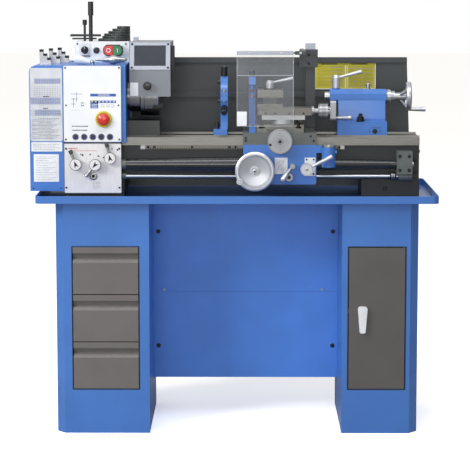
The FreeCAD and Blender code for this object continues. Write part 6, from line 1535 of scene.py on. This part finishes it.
class LATHE_OT_stage(bpy.types.Operator):
    """Set up the floor, the lamps, the room light and the camera"""

    bl_idname = "lathe.stage"
    bl_label = "Set the stage"

    def lamp(self, name, place, aim, size, watts):
        data = bpy.data.lights.new(name, "AREA")
        data.shape, (data.size, data.size_y), data.energy = "RECTANGLE", size, watts
        lamp = bpy.data.objects.new(name, data)
        bpy.context.scene.collection.objects.link(lamp)
        lamp.location = place
        lamp.rotation_mode = "QUATERNION"
        lamp.rotation_quaternion = (Vector(aim) - Vector(place)).to_track_quat("-Z", "Y")

    def room(self, scene, st):
        """White to the eye, an even light on the lathe, and soft bright walls in its metal."""
        world = bpy.data.worlds.new("Room")
        world.use_nodes = True
        world.node_tree.nodes.clear()
        w = Wiring(world.node_tree)
        room = w.add("ShaderNodeBackground", {"Color": (0.96, 0.98, 1.0, 1), "Strength": st.sky})
        white = w.add("ShaderNodeBackground", {"Color": (1, 1, 1, 1), "Strength": 1.0})
        generated = w.add("ShaderNodeTexCoord").outputs["Generated"]
        heading = w.add("ShaderNodeSeparateXYZ", {0: generated}).outputs
        overhead = w.span(heading["Z"], -0.1, 0.8, 0.14, 0.8, True)
        walls = w.span(w.math("ABSOLUTE", w.math("SUBTRACT", heading["X"], -0.25)), 0.25, 0.6, 0.4, 0.0, True)
        front = w.span(heading["Y"], -1.0, -0.2, 0.34, 0.0, True)
        mirrored = w.add("ShaderNodeBackground", {"Color": (0.97, 0.98, 1.0, 1), "Strength": w.math(
            "ADD", front, w.math("ADD", overhead, walls))})
        glossy = w.add("ShaderNodeLightPath").outputs["Is Glossy Ray"]
        other = w.add("ShaderNodeMixShader", {0: glossy, 1: room.outputs[0], 2: mirrored.outputs[0]})
        blend = w.add("ShaderNodeMixShader", {0: ray_from_eye(w), 1: other.outputs[0], 2: white.outputs[0]})
        w.add("ShaderNodeOutputWorld", {0: blend.outputs[0]})
        scene.world = world

    def floor(self, scene, st):
        """A pale floor that looks white and keeps the shadow, and throws back less light than it shows."""
        material = bpy.data.materials.new("Pale floor")
        material.use_nodes = True
        material.node_tree.nodes.clear()
        w = Wiring(material.node_tree)
        grain = w.noise(w.add("ShaderNodeTexCoord").outputs["Object"], 40.0, 3.0)
        lit = w.add("ShaderNodeBsdfDiffuse", {"Color": w.mix(grain, (0.5, 0.5, 0.5), (0.54, 0.54, 0.54))})
        seen = w.add("ShaderNodeBsdfDiffuse", {"Color": w.mix(grain, (1.97, 1.9, 1.8), (2.07, 2.0, 1.9))})
        glow = w.add("ShaderNodeEmission", {"Color": (1, 1, 1, 1), "Strength": st.floor_glow})
        bright = w.add("ShaderNodeAddShader", {0: seen.outputs[0], 1: glow.outputs[0]})
        both = w.add("ShaderNodeMixShader", {0: ray_from_eye(w), 1: lit.outputs[0], 2: bright.outputs[0]})
        w.add("ShaderNodeOutputMaterial", {0: both.outputs[0]})
        half = 30.0
        mesh = bpy.data.meshes.new("floor")
        mesh.from_pydata([(-half, -half, 0), (half, -half, 0), (half, half, 0), (-half, half, 0)], [],
                         [(0, 1, 2, 3)])
        mesh.materials.append(material)
        floor = bpy.data.objects.new("floor", mesh)
        scene.collection.objects.link(floor)

    def camera(self, scene, st):
        data = bpy.data.cameras.new("camera")
        data.lens, data.sensor_width = st.lens, 36
        data.shift_x, data.shift_y = st.shift_x, st.shift_y
        data.clip_end = 200
        camera = bpy.data.objects.new("camera", data)
        scene.collection.objects.link(camera)
        camera.location = st.eye
        camera.rotation_euler = (pi / 2 - st.pitch, 0, st.yaw)
        scene.camera = camera

    def execute(self, context):
        scene, st = context.scene, context.scene.lathe_stage
        scene.view_settings.view_transform = "Standard"
        self.room(scene, st)
        self.floor(scene, st)
        self.lamp("key", (-4.0, -3.0, 3.0), (0, 0, 0.8), (2.4, 1.6), st.key)
        self.lamp("fill", (-0.4, -6.6, 1.9), (0, 0, 0.9), (2.6, 1.6), st.fill)
        self.lamp("strip", (0.0, -1.2, 3.2), (0, 0.0, 1.0), (3.0, 0.6), st.strip)
        self.camera(scene, st)
        return {"FINISHED"}


# ---------------------------------------------------------------- panel and running


STEPS = (LATHE_OT_mix_finishes, LATHE_OT_finish_solids, LATHE_OT_dress_cover, LATHE_OT_dress_headstock,
         LATHE_OT_dress_gearbox, LATHE_OT_dress_controls, LATHE_OT_dress_chuck, LATHE_OT_spiral_covers,
         LATHE_OT_dress_bed, LATHE_OT_dress_stand, LATHE_OT_dress_carriage, LATHE_OT_dress_slides,
         LATHE_OT_dress_shield, LATHE_OT_dress_rests, LATHE_OT_dress_tailstock, LATHE_OT_stage)


class LATHE_PT_steps(bpy.types.Panel):
    """Lists the steps that dress the lathe."""

    bl_idname = "LATHE_PT_steps"
    bl_label = "Engine lathe"
    bl_space_type = "VIEW_3D"
    bl_region_type = "UI"
    bl_category = "Lathe"

    def draw(self, context):
        for step in STEPS:
            self.layout.operator(step.bl_idname)


GROUPS = {"lathe_colours": LatheColours, "lathe_sizes": LatheSizes, "lathe_stage": LatheStage}


def register():
    for cls in (*GROUPS.values(), *STEPS, LATHE_PT_steps):
        bpy.utils.register_class(cls)
    for name, group in GROUPS.items():
        setattr(bpy.types.Scene, name, PointerProperty(type=group))


def unregister():
    for name in GROUPS:
        delattr(bpy.types.Scene, name)
    for cls in reversed((*GROUPS.values(), *STEPS, LATHE_PT_steps)):
        bpy.utils.unregister_class(cls)


def main():
    register()
    for step in STEPS:
        family, name = step.bl_idname.split(".")
        getattr(getattr(bpy.ops, family), name)()


if __name__ == "__main__":
    main()
